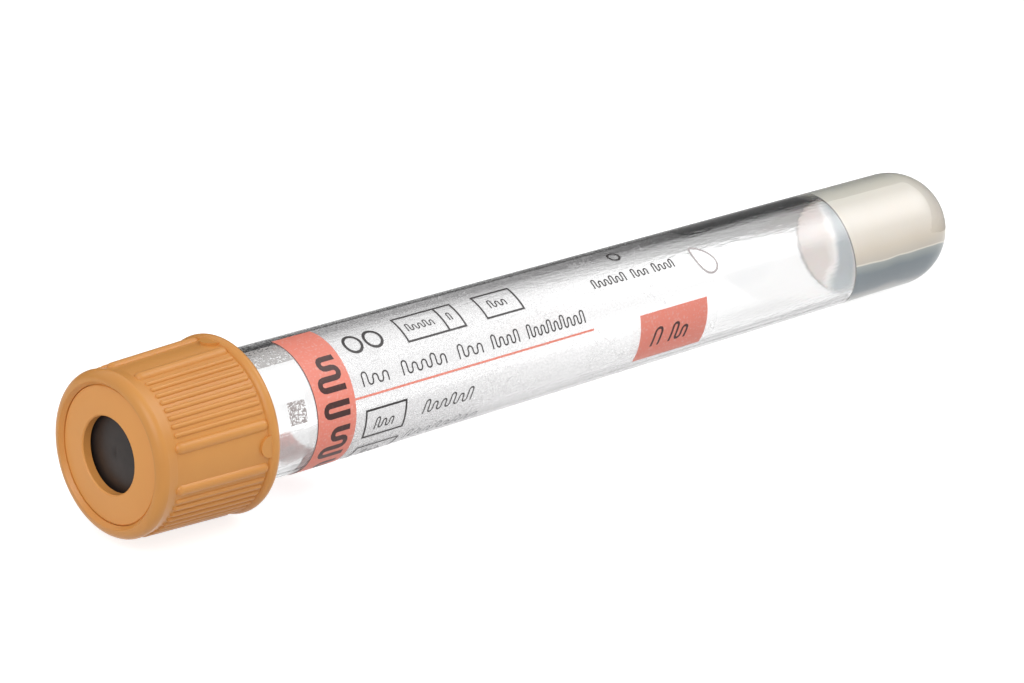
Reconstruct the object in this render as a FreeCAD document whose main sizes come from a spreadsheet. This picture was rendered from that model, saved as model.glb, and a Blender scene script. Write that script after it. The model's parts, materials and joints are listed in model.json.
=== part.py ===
"""Evacuated blood collection tube with a screw-on safety cap, in millimetres.

The object lies as it comes to rest, on the flange of its cap and on its round end, with +Z up,
the cap towards -X and the round end towards +X. The origin is under the middle of its box.

Every sub-part is drawn about its own local Z, which is the axis of the tube: Z is 0 at the front
of the cap's rim and grows towards the round end. One Placement lays all of them down.
"""
import FreeCAD, Part
import math
import os

import Sketcher

# name of the cell, value, what it measures; lengths in millimetres and angles in degrees
SIZES = [
    ("tube_length", "100", "tube from its open rim to its round end"),
    ("rim_place", "7.42", "open rim of the tube behind the front of the cap"),
    ("rim_radius", "6.5", "outside of the tube at its rim"),
    ("draft", "0.0078", "radius that the tube loses per millimetre, for its mould"),
    ("wall", "0.95", "wall of the tube"),
    ("rim_bevel", "0.25", "bevel on both edges of the tube's rim"),
    ("nub_radius", "0.9", "gate mark on the round end"),
    ("nub_height", "0.2", "gate mark, past the round end"),
    ("lug_place", "8.72", "middle of a thread lug of the tube where it starts"),
    ("lug_height", "0.45", "thread lug above the tube"),
    ("lug_crest", "1.0", "width of a thread lug at its crest, on the tube and in the cap"),
    ("lug_root", "1.6", "width of a thread lug of the tube where it leaves the wall"),
    ("lug_angle", "135", "turn that each thread lug spans"),
    ("lead", "8", "way that the cap rises in one turn"),
    ("starts", "2", "thread lugs on the tube, and in the cap"),
    ("catch_offset", "1.35", "cap's thread lugs behind those of the tube"),
    ("catch_root", "1.8", "width of a thread lug of the cap where it leaves the wall"),
    ("catch_radius", "6.65", "crest of the cap's thread lugs"),
    ("lug_sink", "0.3", "depth that a thread lug is rooted in its wall"),
    ("ring_place", "0.42", "face of the ring behind the front of the cap's rim"),
    ("ring_thick", "0.75", "ring in the cap's face"),
    ("ring_radius", "6.69", "outside of the ring"),
    ("ring_bevel", "0.12", "bevel round the ring's face"),
    ("ring_rise", "0.2", "edge of the ring's hole in front of the ring's edge"),
    ("bead", "0.08", "snap bead round the ring"),
    ("bead_place", "0.85", "crest of the snap bead"),
    ("bead_reach", "0.16", "snap bead to each side of its crest"),
    ("port_radius", "3.76", "hole in the ring, over the stopper"),
    ("port_bevel", "0.12", "bevel round the hole"),
    ("recess_radius", "6.72", "seat of the ring in the cap"),
    ("lip_width", "0.32", "bevel on the inside of the cap's rim, across the axis"),
    ("lip_depth", "0.38", "bevel on the inside of the cap's rim, along the axis"),
    ("rim_round", "0.95", "rounding on the outside of the cap's rim"),
    ("collar_radius", "8.08", "outside of the collar behind the cap's rim"),
    ("collar_end", "2.1", "back of the collar, where it meets the plain skin"),
    ("cap_radius", "7.82", "outside of the cap's plain skin, taken forward to its rim"),
    ("cap_draft", "0.0255", "radius that the skin gains per millimetre towards the flange"),
    ("cap_length", "13.98", "cap from the front of its rim to its open end"),
    ("flange_radius", "8.62", "flange round the cap's open end"),
    ("flange_round", "0.65", "rounding of the flange, over its whole thickness"),
    ("rib_angle", "6", "step between fine ribs"),
    ("ribs", "8", "fine ribs in a row"),
    ("rib_radius", "0.27", "rounded back of a fine rib"),
    ("rib_height", "0.23", "fine rib above the skin"),
    ("rib_start", "2.24", "nose of a fine rib"),
    ("rib_end", "12.6", "tail of a fine rib"),
    ("bar_radius", "0.6", "rounded back of a broad rib"),
    ("bar_height", "0.375", "broad rib above the skin"),
    ("bar_start", "1.99", "nose of a broad rib"),
    ("bar_end", "12.85", "tail of a broad rib, inside the flange"),
    ("bar_angle", "15", "broad rib from the middle of a plain panel"),
    ("panels", "4", "plain panels, each between two broad ribs"),
    ("half_moon_radius", "1.05", "half-moon pad on a plain panel, against the flange"),
    ("half_moon_height", "0.24", "half-moon pad above the skin"),
    ("cap_turn", "-2.7", "plain panel of the cap from the top of the tube"),
    ("ledge_thick", "1.4", "ledge between the ring and the stopper's flange"),
    ("ledge_radius", "5.9", "hole in the ledge"),
    ("seat_radius", "7.0", "inside of the cap round the stopper's flange"),
    ("skirt_bore", "7.3", "inside of the cap round the tube's thread"),
    ("mouth_bevel", "0.35", "lead-in at the cap's open end"),
    ("gap", "0.05", "room between the stopper and what it moves in"),
    ("flange_edge", "0.3", "bevel on the stopper's flange"),
    ("dome_radius", "4.6", "foot of the stopper's dome, hidden behind the ring"),
    ("dome_height", "0.45", "dome of the stopper above its shoulder"),
    ("dome_gap", "0.05", "room between the top of the dome and the ring's back"),
    ("plug_length", "6.3", "plug of the stopper inside the tube"),
    ("plug_nose", "0.7", "bevel at the end of the plug"),
    ("plug_dent", "0.2", "shallow groove between the plug's two sealing bands"),
    ("dent_start", "0.35", "front of that groove, as a share of the plug"),
    ("dent_end", "0.65", "back of that groove, as a share of the plug"),
    ("hollow_radius", "3.2", "hollow in the end of the plug"),
    ("hollow_depth", "7.6", "hollow, from the end of the plug to the top of its dome"),
    ("gel_place", "91.22", "edge of the gel behind the front of the cap"),
    ("meniscus", "1.5", "depth of the gel's hollow face"),
    ("film", "0.05", "label film"),
    ("glue", "0.02", "adhesive under the label film"),
    ("label_start", "20.02", "edge of the label nearest the cap"),
    ("label_end", "71.92", "edge of the label nearest the round end"),
    ("label_wrap", "219", "angle that the label covers"),
    ("label_turn", "176", "long edge of the label from the underside of the tube"),
    ("label_corner", "1.2", "rounding of the label's corners"),
    ("trim_reach", "7.5", "height above the axis from which the label's corners are trimmed"),
    ("trim_depth", "2", "depth of that trim, through the film and short of the axis"),
]

SHEET = "Sizes"


def size(name):
    """Expression that reads one cell of the sheet."""
    return f"{SHEET}.{name}"


def barrel(place):
    """Expression for the tube's outside radius at a place on its axis."""
    return f"({size('rim_radius')} - {size('draft')} * ({place} - {size('rim_place')}))"


def bore(place):
    """Expression for the tube's inside radius at a place on its axis."""
    return f"({barrel(place)} - {size('wall')})"


def skin(place):
    """Expression for the cap's outside radius between its ribs at a place on its axis."""
    return f"({size('cap_radius')} + {size('cap_draft')} * ({place}))"


# The round end is a half ball that meets the tapered wall, so its radius follows from the taper.
END_RADIUS = f"(({size('rim_radius')} - {size('draft')} * {size('tube_length')}) / (1 - {size('draft')}))"
TUBE_END = f"({size('rim_place')} + {size('tube_length')})"
END_CENTRE = f"({TUBE_END} - {END_RADIUS})"
RING_BACK = f"({size('ring_place')} + {size('ring_thick')})"
LEDGE_BACK = f"({RING_BACK} + {size('ledge_thick')})"
DOME_TOP = f"({RING_BACK} + {size('dome_gap')})"
FLANGE_CENTRE = f"({size('cap_length')} - {size('flange_round')})"
PLUG_END = f"({size('rim_place')} + {size('plug_length')})"


def make_sheet(doc):
    """Puts the driving dimensions in the document's spreadsheet: name, value, meaning."""
    sheet = doc.addObject("Spreadsheet::Sheet", SHEET)
    for row, (name, value, meaning) in enumerate(SIZES, start=1):
        sheet.set(f"A{row}", name)
        sheet.set(f"B{row}", value)
        sheet.setAlias(f"B{row}", name)
        sheet.set(f"C{row}", meaning)
    doc.recompute()
    return sheet


def new_body(doc, label):
    """An empty body whose label names its file."""
    body = doc.addObject("PartDesign::Body", label)
    body.Label = label
    return body


def origin_feature(body, role):
    """One of the body's own origin planes or axes, found by its role."""
    return next(item for item in body.Origin.OriginFeatures if item.Role == role)


def arc_between(start, end, radius, left):
    """The arc under half a turn from start to end, turning left or right, as Sketcher keeps it."""
    chord = end - start
    reach = math.sqrt(max(radius**2 - (chord.Length / 2) ** 2, 0))
    side = 1 if left else -1
    normal = FreeCAD.Vector(-chord.y, chord.x, 0).normalize()
    centre = (start + end) / 2 + normal * reach * side
    first, last = (start, end) if left else (end, start)
    angles = [math.atan2(point.y - centre.y, point.x - centre.x) for point in (first, last)]
    circle = Part.Circle(centre, FreeCAD.Vector(0, 0, 1), radius)
    return Part.ArcOfCircle(circle, angles[0], angles[1])


def outline(body, name, plane, corners, arcs=None, offset=None):
    """Closed sketch with every corner bound to the sheet.

    corners are pairs of expressions, across and along the sketch. arcs maps the number of a corner
    to (radius expression, turns left), for a rounded edge from that corner to the next. offset is
    an expression that moves or turns the sketch on its plane.
    """
    sketch = body.newObject("Sketcher::SketchObject", name)
    sketch.AttachmentSupport = (origin_feature(body, plane), [""])
    sketch.MapMode = "FlatFace"
    if offset:
        sketch.setExpression("AttachmentOffset", offset)
    arcs = arcs or {}
    places = [[float(body.evalExpression(text)) for text in pair] for pair in corners]
    points = [FreeCAD.Vector(across, along, 0) for across, along in places]
    ends = []
    for index, start in enumerate(points):
        end = points[(index + 1) % len(points)]
        if index in arcs:
            radius, left = arcs[index]
            edge = arc_between(start, end, float(body.evalExpression(radius)), left)
            ends.append((1, 2) if left else (2, 1))
        else:
            edge = Part.LineSegment(start, end)
            ends.append((1, 2))
        sketch.addGeometry(edge, False)
    for index, (first, _) in enumerate(ends):
        before = (index - 1) % len(points)
        sketch.addConstraint(Sketcher.Constraint("Coincident", before, ends[before][1], index, first))
    for index, (first, _) in enumerate(ends):
        sides = zip(("DistanceX", "DistanceY"), (-2, -1), corners[index], places[index])
        for kind, axis, text, value in sides:
            if text == "0":
                sketch.addConstraint(Sketcher.Constraint("PointOnObject", index, first, axis))
                continue
            number = sketch.addConstraint(Sketcher.Constraint(kind, -1, 1, index, first, value))
            sketch.setExpression(f"Constraints[{number}]", text)
    for index, (radius, _) in arcs.items():
        value = float(body.evalExpression(radius))
        number = sketch.addConstraint(Sketcher.Constraint("Radius", index, value))
        sketch.setExpression(f"Constraints[{number}]", radius)
    return sketch


def turned(body, name, sketch, kind="PartDesign::Revolution", angle=None):
    """Revolves a sketch about its own upright axis: a solid, or with a Groove a cut."""
    feature = body.newObject(kind, name)
    feature.Profile = sketch
    feature.ReferenceAxis = (sketch, ["V_Axis"])
    if angle:
        feature.setExpression("Angle", angle)
    return feature


def thread_lugs(body, name, corners, offset):
    """Thread lugs: one profile swept along a short helix, and repeated round the axis."""
    profile = outline(body, f"{name}_profile", "XZ_Plane", corners, offset=offset)
    lug = body.newObject("PartDesign::AdditiveHelix", name)
    lug.Profile = profile
    lug.ReferenceAxis = (profile, ["V_Axis"])
    lug.Mode = "pitch-height-angle"
    lug.setExpression("Pitch", size("lead"))
    lug.setExpression("Height", f"{size('lead')} * {size('lug_angle')} / 360")
    return round_the_axis(body, f"{name}s", lug, size("starts"))


def round_the_axis(body, name, feature, count):
    """Repeats a feature evenly round the body's axis."""
    pattern = body.newObject("PartDesign::PolarPattern", name)
    pattern.Originals = [feature]
    pattern.Axis = (origin_feature(body, "Z_Axis"), [""])
    pattern.Angle = 360
    pattern.setExpression("Occurrences", count)
    body.Tip = pattern
    return pattern


def swing(angle):
    """Expression that turns a sketch about the body's axis, by an angle expression in degrees."""
    return f"placement(vector(0; 0; 0); vector(0; 1; 0); ({angle}) * 1 deg)"


def make_tube(doc):
    """Moulded tube: tapered wall, half-ball end with its gate mark, bevelled rim, thread lugs."""
    body = new_body(doc, "tube")
    rim = size("rim_place")
    inner_end = f"({END_RADIUS} - {size('wall')})"
    # where the gate mark leaves the ball
    nub_foot = f"({END_CENTRE} + sqrt({END_RADIUS}^2 - {size('nub_radius')}^2))"
    nub_top = f"({TUBE_END} + {size('nub_height')})"
    corners = [
        (f"{bore(rim)} + {size('rim_bevel')}", rim),
        (f"{barrel(rim)} - {size('rim_bevel')}", rim),
        (barrel(rim), f"{rim} + {size('rim_bevel')}"),
        (END_RADIUS, END_CENTRE),
        (size("nub_radius"), nub_foot),
        (size("nub_radius"), nub_top),
        ("0", nub_top),
        ("0", f"{END_CENTRE} + {inner_end}"),
        (inner_end, END_CENTRE),
        (bore(rim), f"{rim} + {size('rim_bevel')}"),
    ]
    arcs = {3: (END_RADIUS, True), 7: (inner_end, False)}
    wall = outline(body, "tube_wall_profile", "XZ_Plane", corners, arcs)
    turned(body, "tube_wall", wall)

    crest = f"{size('rim_radius')} + {size('lug_height')}"
    root = f"{size('rim_radius')} - {size('lug_sink')}"
    middle = size("lug_place")
    profile = [
        (root, f"{middle} - {size('lug_root')} / 2"),
        (crest, f"{middle} - {size('lug_crest')} / 2"),
        (crest, f"{middle} + {size('lug_crest')} / 2"),
        (root, f"{middle} + {size('lug_root')} / 2"),
    ]
    thread_lugs(body, "tube_lug", profile, None)
    return body


def add_ribs(body, kind, place, steps):
    """Rounded ribs that lie on the skin: each is a rod with ball ends, half sunk in the cap.

    place is the angle of the first rib from the middle of a plain panel, and steps are the patterns
    that repeat it, as (angle expression, count expression).
    """
    radius, start, end = (size(f"{kind}_{part}") for part in ("radius", "start", "end"))
    sink = f"({radius} - {size(f'{kind}_height')})"
    slope = f"atan({size('cap_draft')})"
    length = f"({end} - {start})"
    corners = [("0", "0"), (radius, radius), (radius, f"{length} - {radius}"), ("0", length)]
    ball_ends = {0: (radius, True), 2: (radius, True)}
    lean = f"placement(vector({skin(start)} - {sink}; {start}; 0); vector(0; 0; 1); -{slope})"
    profile = outline(body, f"{kind}_profile", "XZ_Plane", corners, ball_ends, f"{swing(place)} * {lean}")
    rod = turned(body, kind, profile)
    pattern = body.newObject("PartDesign::MultiTransform", f"{kind}s")
    pattern.Originals = [rod]
    rounds = []
    for number, (angle, count) in enumerate(steps):
        step = body.newObject("PartDesign::PolarPattern", f"{kind}_step_{number}")
        step.Axis = (origin_feature(body, "Z_Axis"), [""])
        step.setExpression("Angle", angle)
        step.setExpression("Occurrences", count)
        rounds.append(step)
    pattern.Transformations = rounds
    body.Tip = pattern
    return pattern


def make_cap_shell(doc):
    """Cap shell: rounded rim and collar, tapered skin with its ribs, flange, ledge and thread."""
    body = new_body(doc, "cap_shell")
    collar, corner = size("collar_radius"), size("rim_round")
    bulge = f"({skin(FLANGE_CENTRE)} - {size('flange_radius')} + {size('flange_round')})"
    flange_foot = f"({FLANGE_CENTRE} - sqrt({size('flange_round')}^2 - {bulge}^2))"
    blank = [
        ("0", "0"),
        (f"{collar} - {corner}", "0"),
        (collar, corner),
        (skin(size("collar_end")), size("collar_end")),
        (skin(FLANGE_CENTRE), flange_foot),
        (size("flange_radius"), FLANGE_CENTRE),
        (f"{size('flange_radius')} - {size('flange_round')}", size("cap_length")),
        ("0", size("cap_length")),
    ]
    arcs = {
        1: (corner, True),
        4: (size("flange_round"), True),
        5: (size("flange_round"), True),
    }
    turned(body, "cap_blank", outline(body, "cap_blank_profile", "XZ_Plane", blank, arcs))

    fine_place = f"{size('bar_angle')} + (360 / {size('panels')} - 2 * {size('bar_angle')}" \
                 f" - {size('rib_angle')} * ({size('ribs')} - 1)) / 2"
    row = f"{size('rib_angle')} * ({size('ribs')} - 1) * 1 deg"
    add_ribs(body, "rib", fine_place, [(row, size("ribs")), ("360 deg", size("panels"))])
    pair = f"(360 / {size('panels')} - 2 * {size('bar_angle')}) * 1 deg"
    add_ribs(body, "bar", size("bar_angle"), [(pair, "2"), ("360 deg", size("panels"))])

    add_half_moons(body, flange_foot)
    hollow_out(body)

    crest, root = size("catch_radius"), f"{size('skirt_bore')} + {size('lug_sink')}"
    middle = f"({size('lug_place')} + {size('catch_offset')})"
    profile = [
        (root, f"{middle} - {size('catch_root')} / 2"),
        (root, f"{middle} + {size('catch_root')} / 2"),
        (crest, f"{middle} + {size('lug_crest')} / 2"),
        (crest, f"{middle} - {size('lug_crest')} / 2"),
    ]
    thread_lugs(body, "cap_lug", profile, swing(f"-({size('cap_turn')})"))
    return body


def add_half_moons(body, flange_foot):
    """Half-moon pads, one at the foot of each plain panel with its flat side on the flange."""
    radius = size("half_moon_radius")
    depth = size("bar_radius")
    corners = [
        (radius, f"{flange_foot} + {depth}"),
        (f"-{radius}", f"{flange_foot} + {depth}"),
        (f"-{radius}", flange_foot),
        ("0", f"{flange_foot} - {radius}"),
        (radius, flange_foot),
    ]
    arcs = {2: (radius, True), 3: (radius, True)}
    face = outline(body, "half_moon_profile", "YZ_Plane", corners, arcs,
                   f"placement(vector(0; 0; {skin(flange_foot)} - {depth}); vector(0; 0; 1); 0)")
    pad = body.newObject("PartDesign::Pad", "half_moon")
    pad.Profile = face
    pad.setExpression("Length", f"{depth} + {size('half_moon_height')}")
    round_the_axis(body, "half_moons", pad, size("panels"))


def hollow_out(body):
    """Cuts the inside of the cap: ring seat, ledge, stopper seat, threaded skirt and its mouth."""
    seat, skirt = size("recess_radius"), size("skirt_bore")
    lip = f"{seat} + {size('lip_width')}"
    end = size("cap_length")
    bevel = size("mouth_bevel")
    step = f"({size('rim_place')} - {bevel})"
    over = f"({end} + {bevel})"
    corners = [
        ("0", f"-{bevel}"),
        (lip, f"-{bevel}"),
        (lip, "0"),
        (seat, size("lip_depth")),
        *snap_bead(seat),
        (seat, RING_BACK),
        (size("ledge_radius"), RING_BACK),
        (size("ledge_radius"), LEDGE_BACK),
        (size("seat_radius"), LEDGE_BACK),
        (size("seat_radius"), step),
        (skirt, f"{step} + {skirt} - {size('seat_radius')}"),
        (skirt, f"{end} - {bevel}"),
        (f"{skirt} + {bevel}", end),
        (f"{skirt} + {bevel}", over),
        ("0", over),
    ]
    inside = outline(body, "cap_inside_profile", "XZ_Plane", corners)
    turned(body, "cap_inside", inside, "PartDesign::Groove")


def snap_bead(edge):
    """The three corners of a small ridge round an edge: the ring's bead, or its groove in the cap."""
    crest, reach = size("bead_place"), size("bead_reach")
    return [
        (edge, f"{crest} - {reach}"),
        (f"{edge} + {size('bead')}", crest),
        (edge, f"{crest} + {reach}"),
    ]


def make_cap_ring(doc):
    """Ring in the cap's face, raised towards its hole over the stopper, with a snap bead."""
    body = new_body(doc, "cap_ring")
    face, back = size("ring_place"), RING_BACK
    edge, hole = size("ring_radius"), size("port_radius")
    brink = f"({face} - {size('ring_rise')})"
    corners = [
        (hole, back),
        (hole, f"{brink} + {size('port_bevel')}"),
        (f"{hole} + {size('port_bevel')}", brink),
        (f"{edge} - {size('ring_bevel')}", face),
        (edge, f"{face} + {size('ring_bevel')}"),
        *snap_bead(edge),
        (edge, back),
    ]
    turned(body, "ring_plate", outline(body, "ring_profile", "XZ_Plane", corners))
    return body


def make_stopper(doc):
    """Rubber stopper: domed top under the hole, clamped flange, hollow plug with sealing bands."""
    body = new_body(doc, "stopper")
    gap = size("gap")
    top = f"({DOME_TOP} + {size('dome_height')})"
    boss = f"({size('ledge_radius')} - 2 * {gap})"
    shoulder = f"({LEDGE_BACK} + {gap})"
    flange = f"({size('seat_radius')} - 2 * {gap})"
    edge = size("flange_edge")
    seat = f"({size('rim_place')} - {gap})"
    nose, dent = size("plug_nose"), size("plug_dent")
    plug = size("plug_length")
    dent_start, dent_end = (f"({seat} + {plug} * {size(share)})" for share in ("dent_start", "dent_end"))
    dome_ball = f"(({size('dome_radius')}^2 + {size('dome_height')}^2) / (2 * {size('dome_height')}))"
    hollow_top = f"({PLUG_END} - {size('hollow_depth')})"
    corners = [
        ("0", DOME_TOP),
        (size("dome_radius"), top),
        (f"{boss} - {edge}", top),
        (boss, f"{top} + {edge}"),
        (boss, shoulder),
        (f"{flange} - {edge}", shoulder),
        (flange, f"{shoulder} + {edge}"),
        (flange, f"{seat} - {edge}"),
        (f"{flange} - {edge}", seat),
        (f"{bore(seat)} - {gap}", seat),
        (f"{bore(dent_start)} - {gap}", dent_start),
        (f"{bore(dent_start)} - {gap} - {dent}", f"{dent_start} + {dent}"),
        (f"{bore(dent_end)} - {gap} - {dent}", f"{dent_end} - {dent}"),
        (f"{bore(dent_end)} - {gap}", dent_end),
        (f"{bore(PLUG_END)} - {gap}", f"{PLUG_END} - {nose}"),
        (f"{bore(PLUG_END)} - {gap} - {nose} / 2", PLUG_END),
        (size("hollow_radius"), PLUG_END),
        (size("hollow_radius"), f"{hollow_top} + {size('hollow_radius')}"),
        ("0", hollow_top),
    ]
    arcs = {0: (dome_ball, True), len(corners) - 2: (size("hollow_radius"), False)}
    turned(body, "stopper_rubber", outline(body, "stopper_profile", "XZ_Plane", corners, arcs))
    return body


def make_separator_gel(doc):
    """Separator gel: fills the round end up to a hollow meniscus."""
    body = new_body(doc, "separator_gel")
    inner_end = f"({END_RADIUS} - {size('wall')})"
    edge, dip = size("gel_place"), size("meniscus")
    ball = f"(({bore(edge)}^2 + {dip}^2) / (2 * {dip}))"
    corners = [
        ("0", f"{edge} + {dip}"),
        (bore(edge), edge),
        (inner_end, END_CENTRE),
        ("0", f"{END_CENTRE} + {inner_end}"),
    ]
    arcs = {0: (ball, False), 2: (inner_end, True)}
    turned(body, "gel_fill", outline(body, "gel_profile", "XZ_Plane", corners, arcs))
    return body


def make_label(doc):
    """Clear label film wrapped part of the way round the tube, with rounded corners."""
    body = new_body(doc, "label")
    start, end = size("label_start"), size("label_end")
    inner, outer = size("glue"), f"{size('glue')} + {size('film')}"
    corners = [
        (f"{barrel(start)} + {inner}", start),
        (f"{barrel(start)} + {outer}", start),
        (f"{barrel(end)} + {outer}", end),
        (f"{barrel(end)} + {inner}", end),
    ]
    strip = outline(body, "label_profile", "XZ_Plane", corners, offset=swing(size("label_turn")))
    turned(body, "label_wrap", strip, angle=f"{size('label_wrap')} * 1 deg")
    far_edge = f"{size('label_turn')} + {size('label_wrap')}"
    round_corner(body, "corner_0", size("label_turn"), start, 0)
    round_corner(body, "corner_1", far_edge, start, 90)
    round_corner(body, "corner_2", far_edge, end, 180)
    round_corner(body, "corner_3", size("label_turn"), end, 270)
    return body


def round_corner(body, name, angle, place, quarter):
    """Rounds one corner of the label: cuts what lies outside a quarter circle, towards the axis."""
    radius = size("label_corner")
    corners = [("0", "0"), (radius, "0"), ("0", radius)]
    over = f"placement(vector(0; {place}; {size('trim_reach')}); vector(0; 0; 1); {quarter} * 1 deg)"
    offset = f"{swing(angle)} * {over}"
    waste = outline(body, f"{name}_profile", "YZ_Plane", corners, {1: (radius, False)}, offset)
    pocket = body.newObject("PartDesign::Pocket", name)
    pocket.Profile = waste
    pocket.setExpression("Length", size("trim_depth"))


def lay_down(bodies):
    """Lays the object on the cap's flange and the round end, over the origin.

    The flange's rounded crest and the round end both touch the ground, which gives the lean of
    the axis. The lean and the object's ends then give where the local origin goes.
    """
    run = f"({END_CENTRE} - {FLANGE_CENTRE})"
    crest = f"({size('flange_radius')} - {size('flange_round')})"
    drop = f"({END_RADIUS} - {size('flange_round')})"
    lean = f"(atan({crest} / {run}) - asin({drop} / sqrt({run}^2 + {crest}^2)))"
    corner, collar = size("rim_round"), size("collar_radius")
    front = f"({corner} * cos({lean}) - ({collar} - {corner}) * sin({lean}) - {corner})"
    nub_top = f"({TUBE_END} + {size('nub_height')})"
    tip = f"({nub_top} * cos({lean}) + {size('nub_radius')} * sin({lean}))"
    height = f"({END_RADIUS} + {END_CENTRE} * sin({lean}))"
    tube = bodies["tube"]
    tube.setExpression(
        "Placement",
        f"placement(vector(-({front} + {tip}) / 2; 0; {height}); vector(0; 1; 0); 90 deg + {lean})")
    turn = f"placement(vector(0; 0; 0); vector(0; 0; 1); {size('cap_turn')} * 1 deg)"
    for label, body in bodies.items():
        if label in ("cap_shell", "cap_ring"):
            body.setExpression("Placement", f"{tube.Name}.Placement * {turn}")
        elif body is not tube:
            body.setExpression("Placement", f"{tube.Name}.Placement")


def check(doc, bodies):
    """Stops before anything is written if a feature failed or a sub-part isn't a sound solid."""
    failed = [item.Name for item in doc.Objects if {"Invalid", "Error"} & set(item.State)]
    if failed:
        raise RuntimeError(f"features failed: {failed}")
    for label, body in bodies.items():
        if body.Shape.isNull() or not body.Shape.isValid() or len(body.Shape.Solids) != 1:
            raise RuntimeError(f"{label} is not one valid solid")


def main():
    """Builds the document, checks it and writes one STEP file for each sub-part."""
    doc = FreeCAD.newDocument("BloodCollectionTube")
    make_sheet(doc)
    makers = (make_tube, make_cap_shell, make_cap_ring, make_stopper, make_separator_gel, make_label)
    bodies = {body.Label: body for body in (make(doc) for make in makers)}
    lay_down(bodies)
    doc.recompute()
    check(doc, bodies)
    os.makedirs("parts", exist_ok=True)
    for label, body in bodies.items():
        body.Shape.exportStep(f"parts/{label}.step")
        box = body.Shape.BoundBox
        print(f"{label}: {body.Shape.Volume:.1f} mm3, x {box.XMin:.2f} to {box.XMax:.2f}, "
              f"y {box.YMin:.2f} to {box.YMax:.2f}, z {box.ZMin:.2f} to {box.ZMax:.2f}")


main()
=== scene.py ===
"""The looks of a capped blood collection tube that lies on its side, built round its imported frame.

The tube is clear moulded plastic with a milky separator gel in its round end. A printed clear
film is wrapped round the barrel, and an ochre screw cap shows the grey stopper through its ring.

Pieces are drawn in the tube's own frame, where Z runs along the axis from the front of the cap to
the round end, X points up from it and Y points to the side that the camera stands on. The turn
round the axis is an angle from X towards Y. A Lie takes the finished mesh to the row frame.
Meshes are in metres, and the sizes of the pieces are in millimetres and degrees.
"""

from __future__ import annotations

import json
import logging
import math
from dataclasses import dataclass
from enum import Enum

import bmesh
import bpy
from mathutils import Matrix, Vector

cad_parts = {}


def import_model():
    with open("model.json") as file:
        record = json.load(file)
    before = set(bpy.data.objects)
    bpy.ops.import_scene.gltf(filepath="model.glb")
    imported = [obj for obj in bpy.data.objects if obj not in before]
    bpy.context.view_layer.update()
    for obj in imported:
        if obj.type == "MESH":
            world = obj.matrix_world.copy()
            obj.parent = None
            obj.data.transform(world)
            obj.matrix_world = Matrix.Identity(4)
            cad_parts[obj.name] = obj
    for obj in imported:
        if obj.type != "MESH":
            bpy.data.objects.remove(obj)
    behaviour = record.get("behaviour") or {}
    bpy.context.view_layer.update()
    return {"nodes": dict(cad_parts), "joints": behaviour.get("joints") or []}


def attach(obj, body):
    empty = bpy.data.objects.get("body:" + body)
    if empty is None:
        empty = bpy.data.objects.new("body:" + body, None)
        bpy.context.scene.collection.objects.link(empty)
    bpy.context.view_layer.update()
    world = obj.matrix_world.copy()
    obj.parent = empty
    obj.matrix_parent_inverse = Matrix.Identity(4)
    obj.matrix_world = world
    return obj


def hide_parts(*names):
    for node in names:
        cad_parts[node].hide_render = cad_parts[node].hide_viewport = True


LOG = logging.getLogger("blood_tube")

MM = 0.001
ORIGIN = (0.0, 0.0, 0.0)
Y_AXIS = (0.0, 1.0, 0.0)
Z_AXIS = (0.0, 0.0, 1.0)
# An edge that turns by less than this is shaded smooth.
SHARP = math.radians(35)
# Metres within which corners are merged, and within which a corner is on a cut.
SAME_POINT = 1e-7
ON_PLANE = 1e-8


class Coat(Enum):
    """Which finish a face has: its piece's own, or the one of a part that differs.

    Such a part is the tube's bore, the gel's hollow face or the drop's raised edge.
    """

    OWN = 0
    PART = 1


# ---------------------------------------------------------------- drawing and placing


@dataclass(frozen=True)
class Lie:
    """How the tube lies: where the front of its cap is, and which way the axis runs.

    Attributes:
        front: the point of the axis at the front of the cap's rim.
        along: the unit vector from there to the round end.
    """

    front: Vector
    along: Vector

    @classmethod
    def read(cls, joints: list[dict], rim_depth: float) -> Lie:
        """Finds the lie from the hinge that the cap turns on, which sits at the tube's rim.

        Args:
            joints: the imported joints.
            rim_depth: metres from the front of the cap to the tube's rim.

        Returns:
            The lie of the tube in the row frame.
        """
        hinge = next(joint for joint in joints if joint["type"] == "hinge")
        outward = Vector(hinge["axis"]).normalized()
        return cls(Vector(hinge["pos_m"]) + outward * rim_depth, -outward)

    def matrix(self) -> Matrix:
        """Works out the turn and shift from the tube's own frame to the row frame.

        Returns:
            The matrix.
        """
        side = Vector((0.0, -1.0, 0.0))
        up = side.cross(self.along)
        turn = Matrix((up, side, self.along)).transposed().to_4x4()
        return Matrix.Translation(self.front) @ turn

    def point(self, place: float) -> Vector:
        """The point of the axis some metres behind the front of the cap."""
        return self.front + self.along * place


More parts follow.
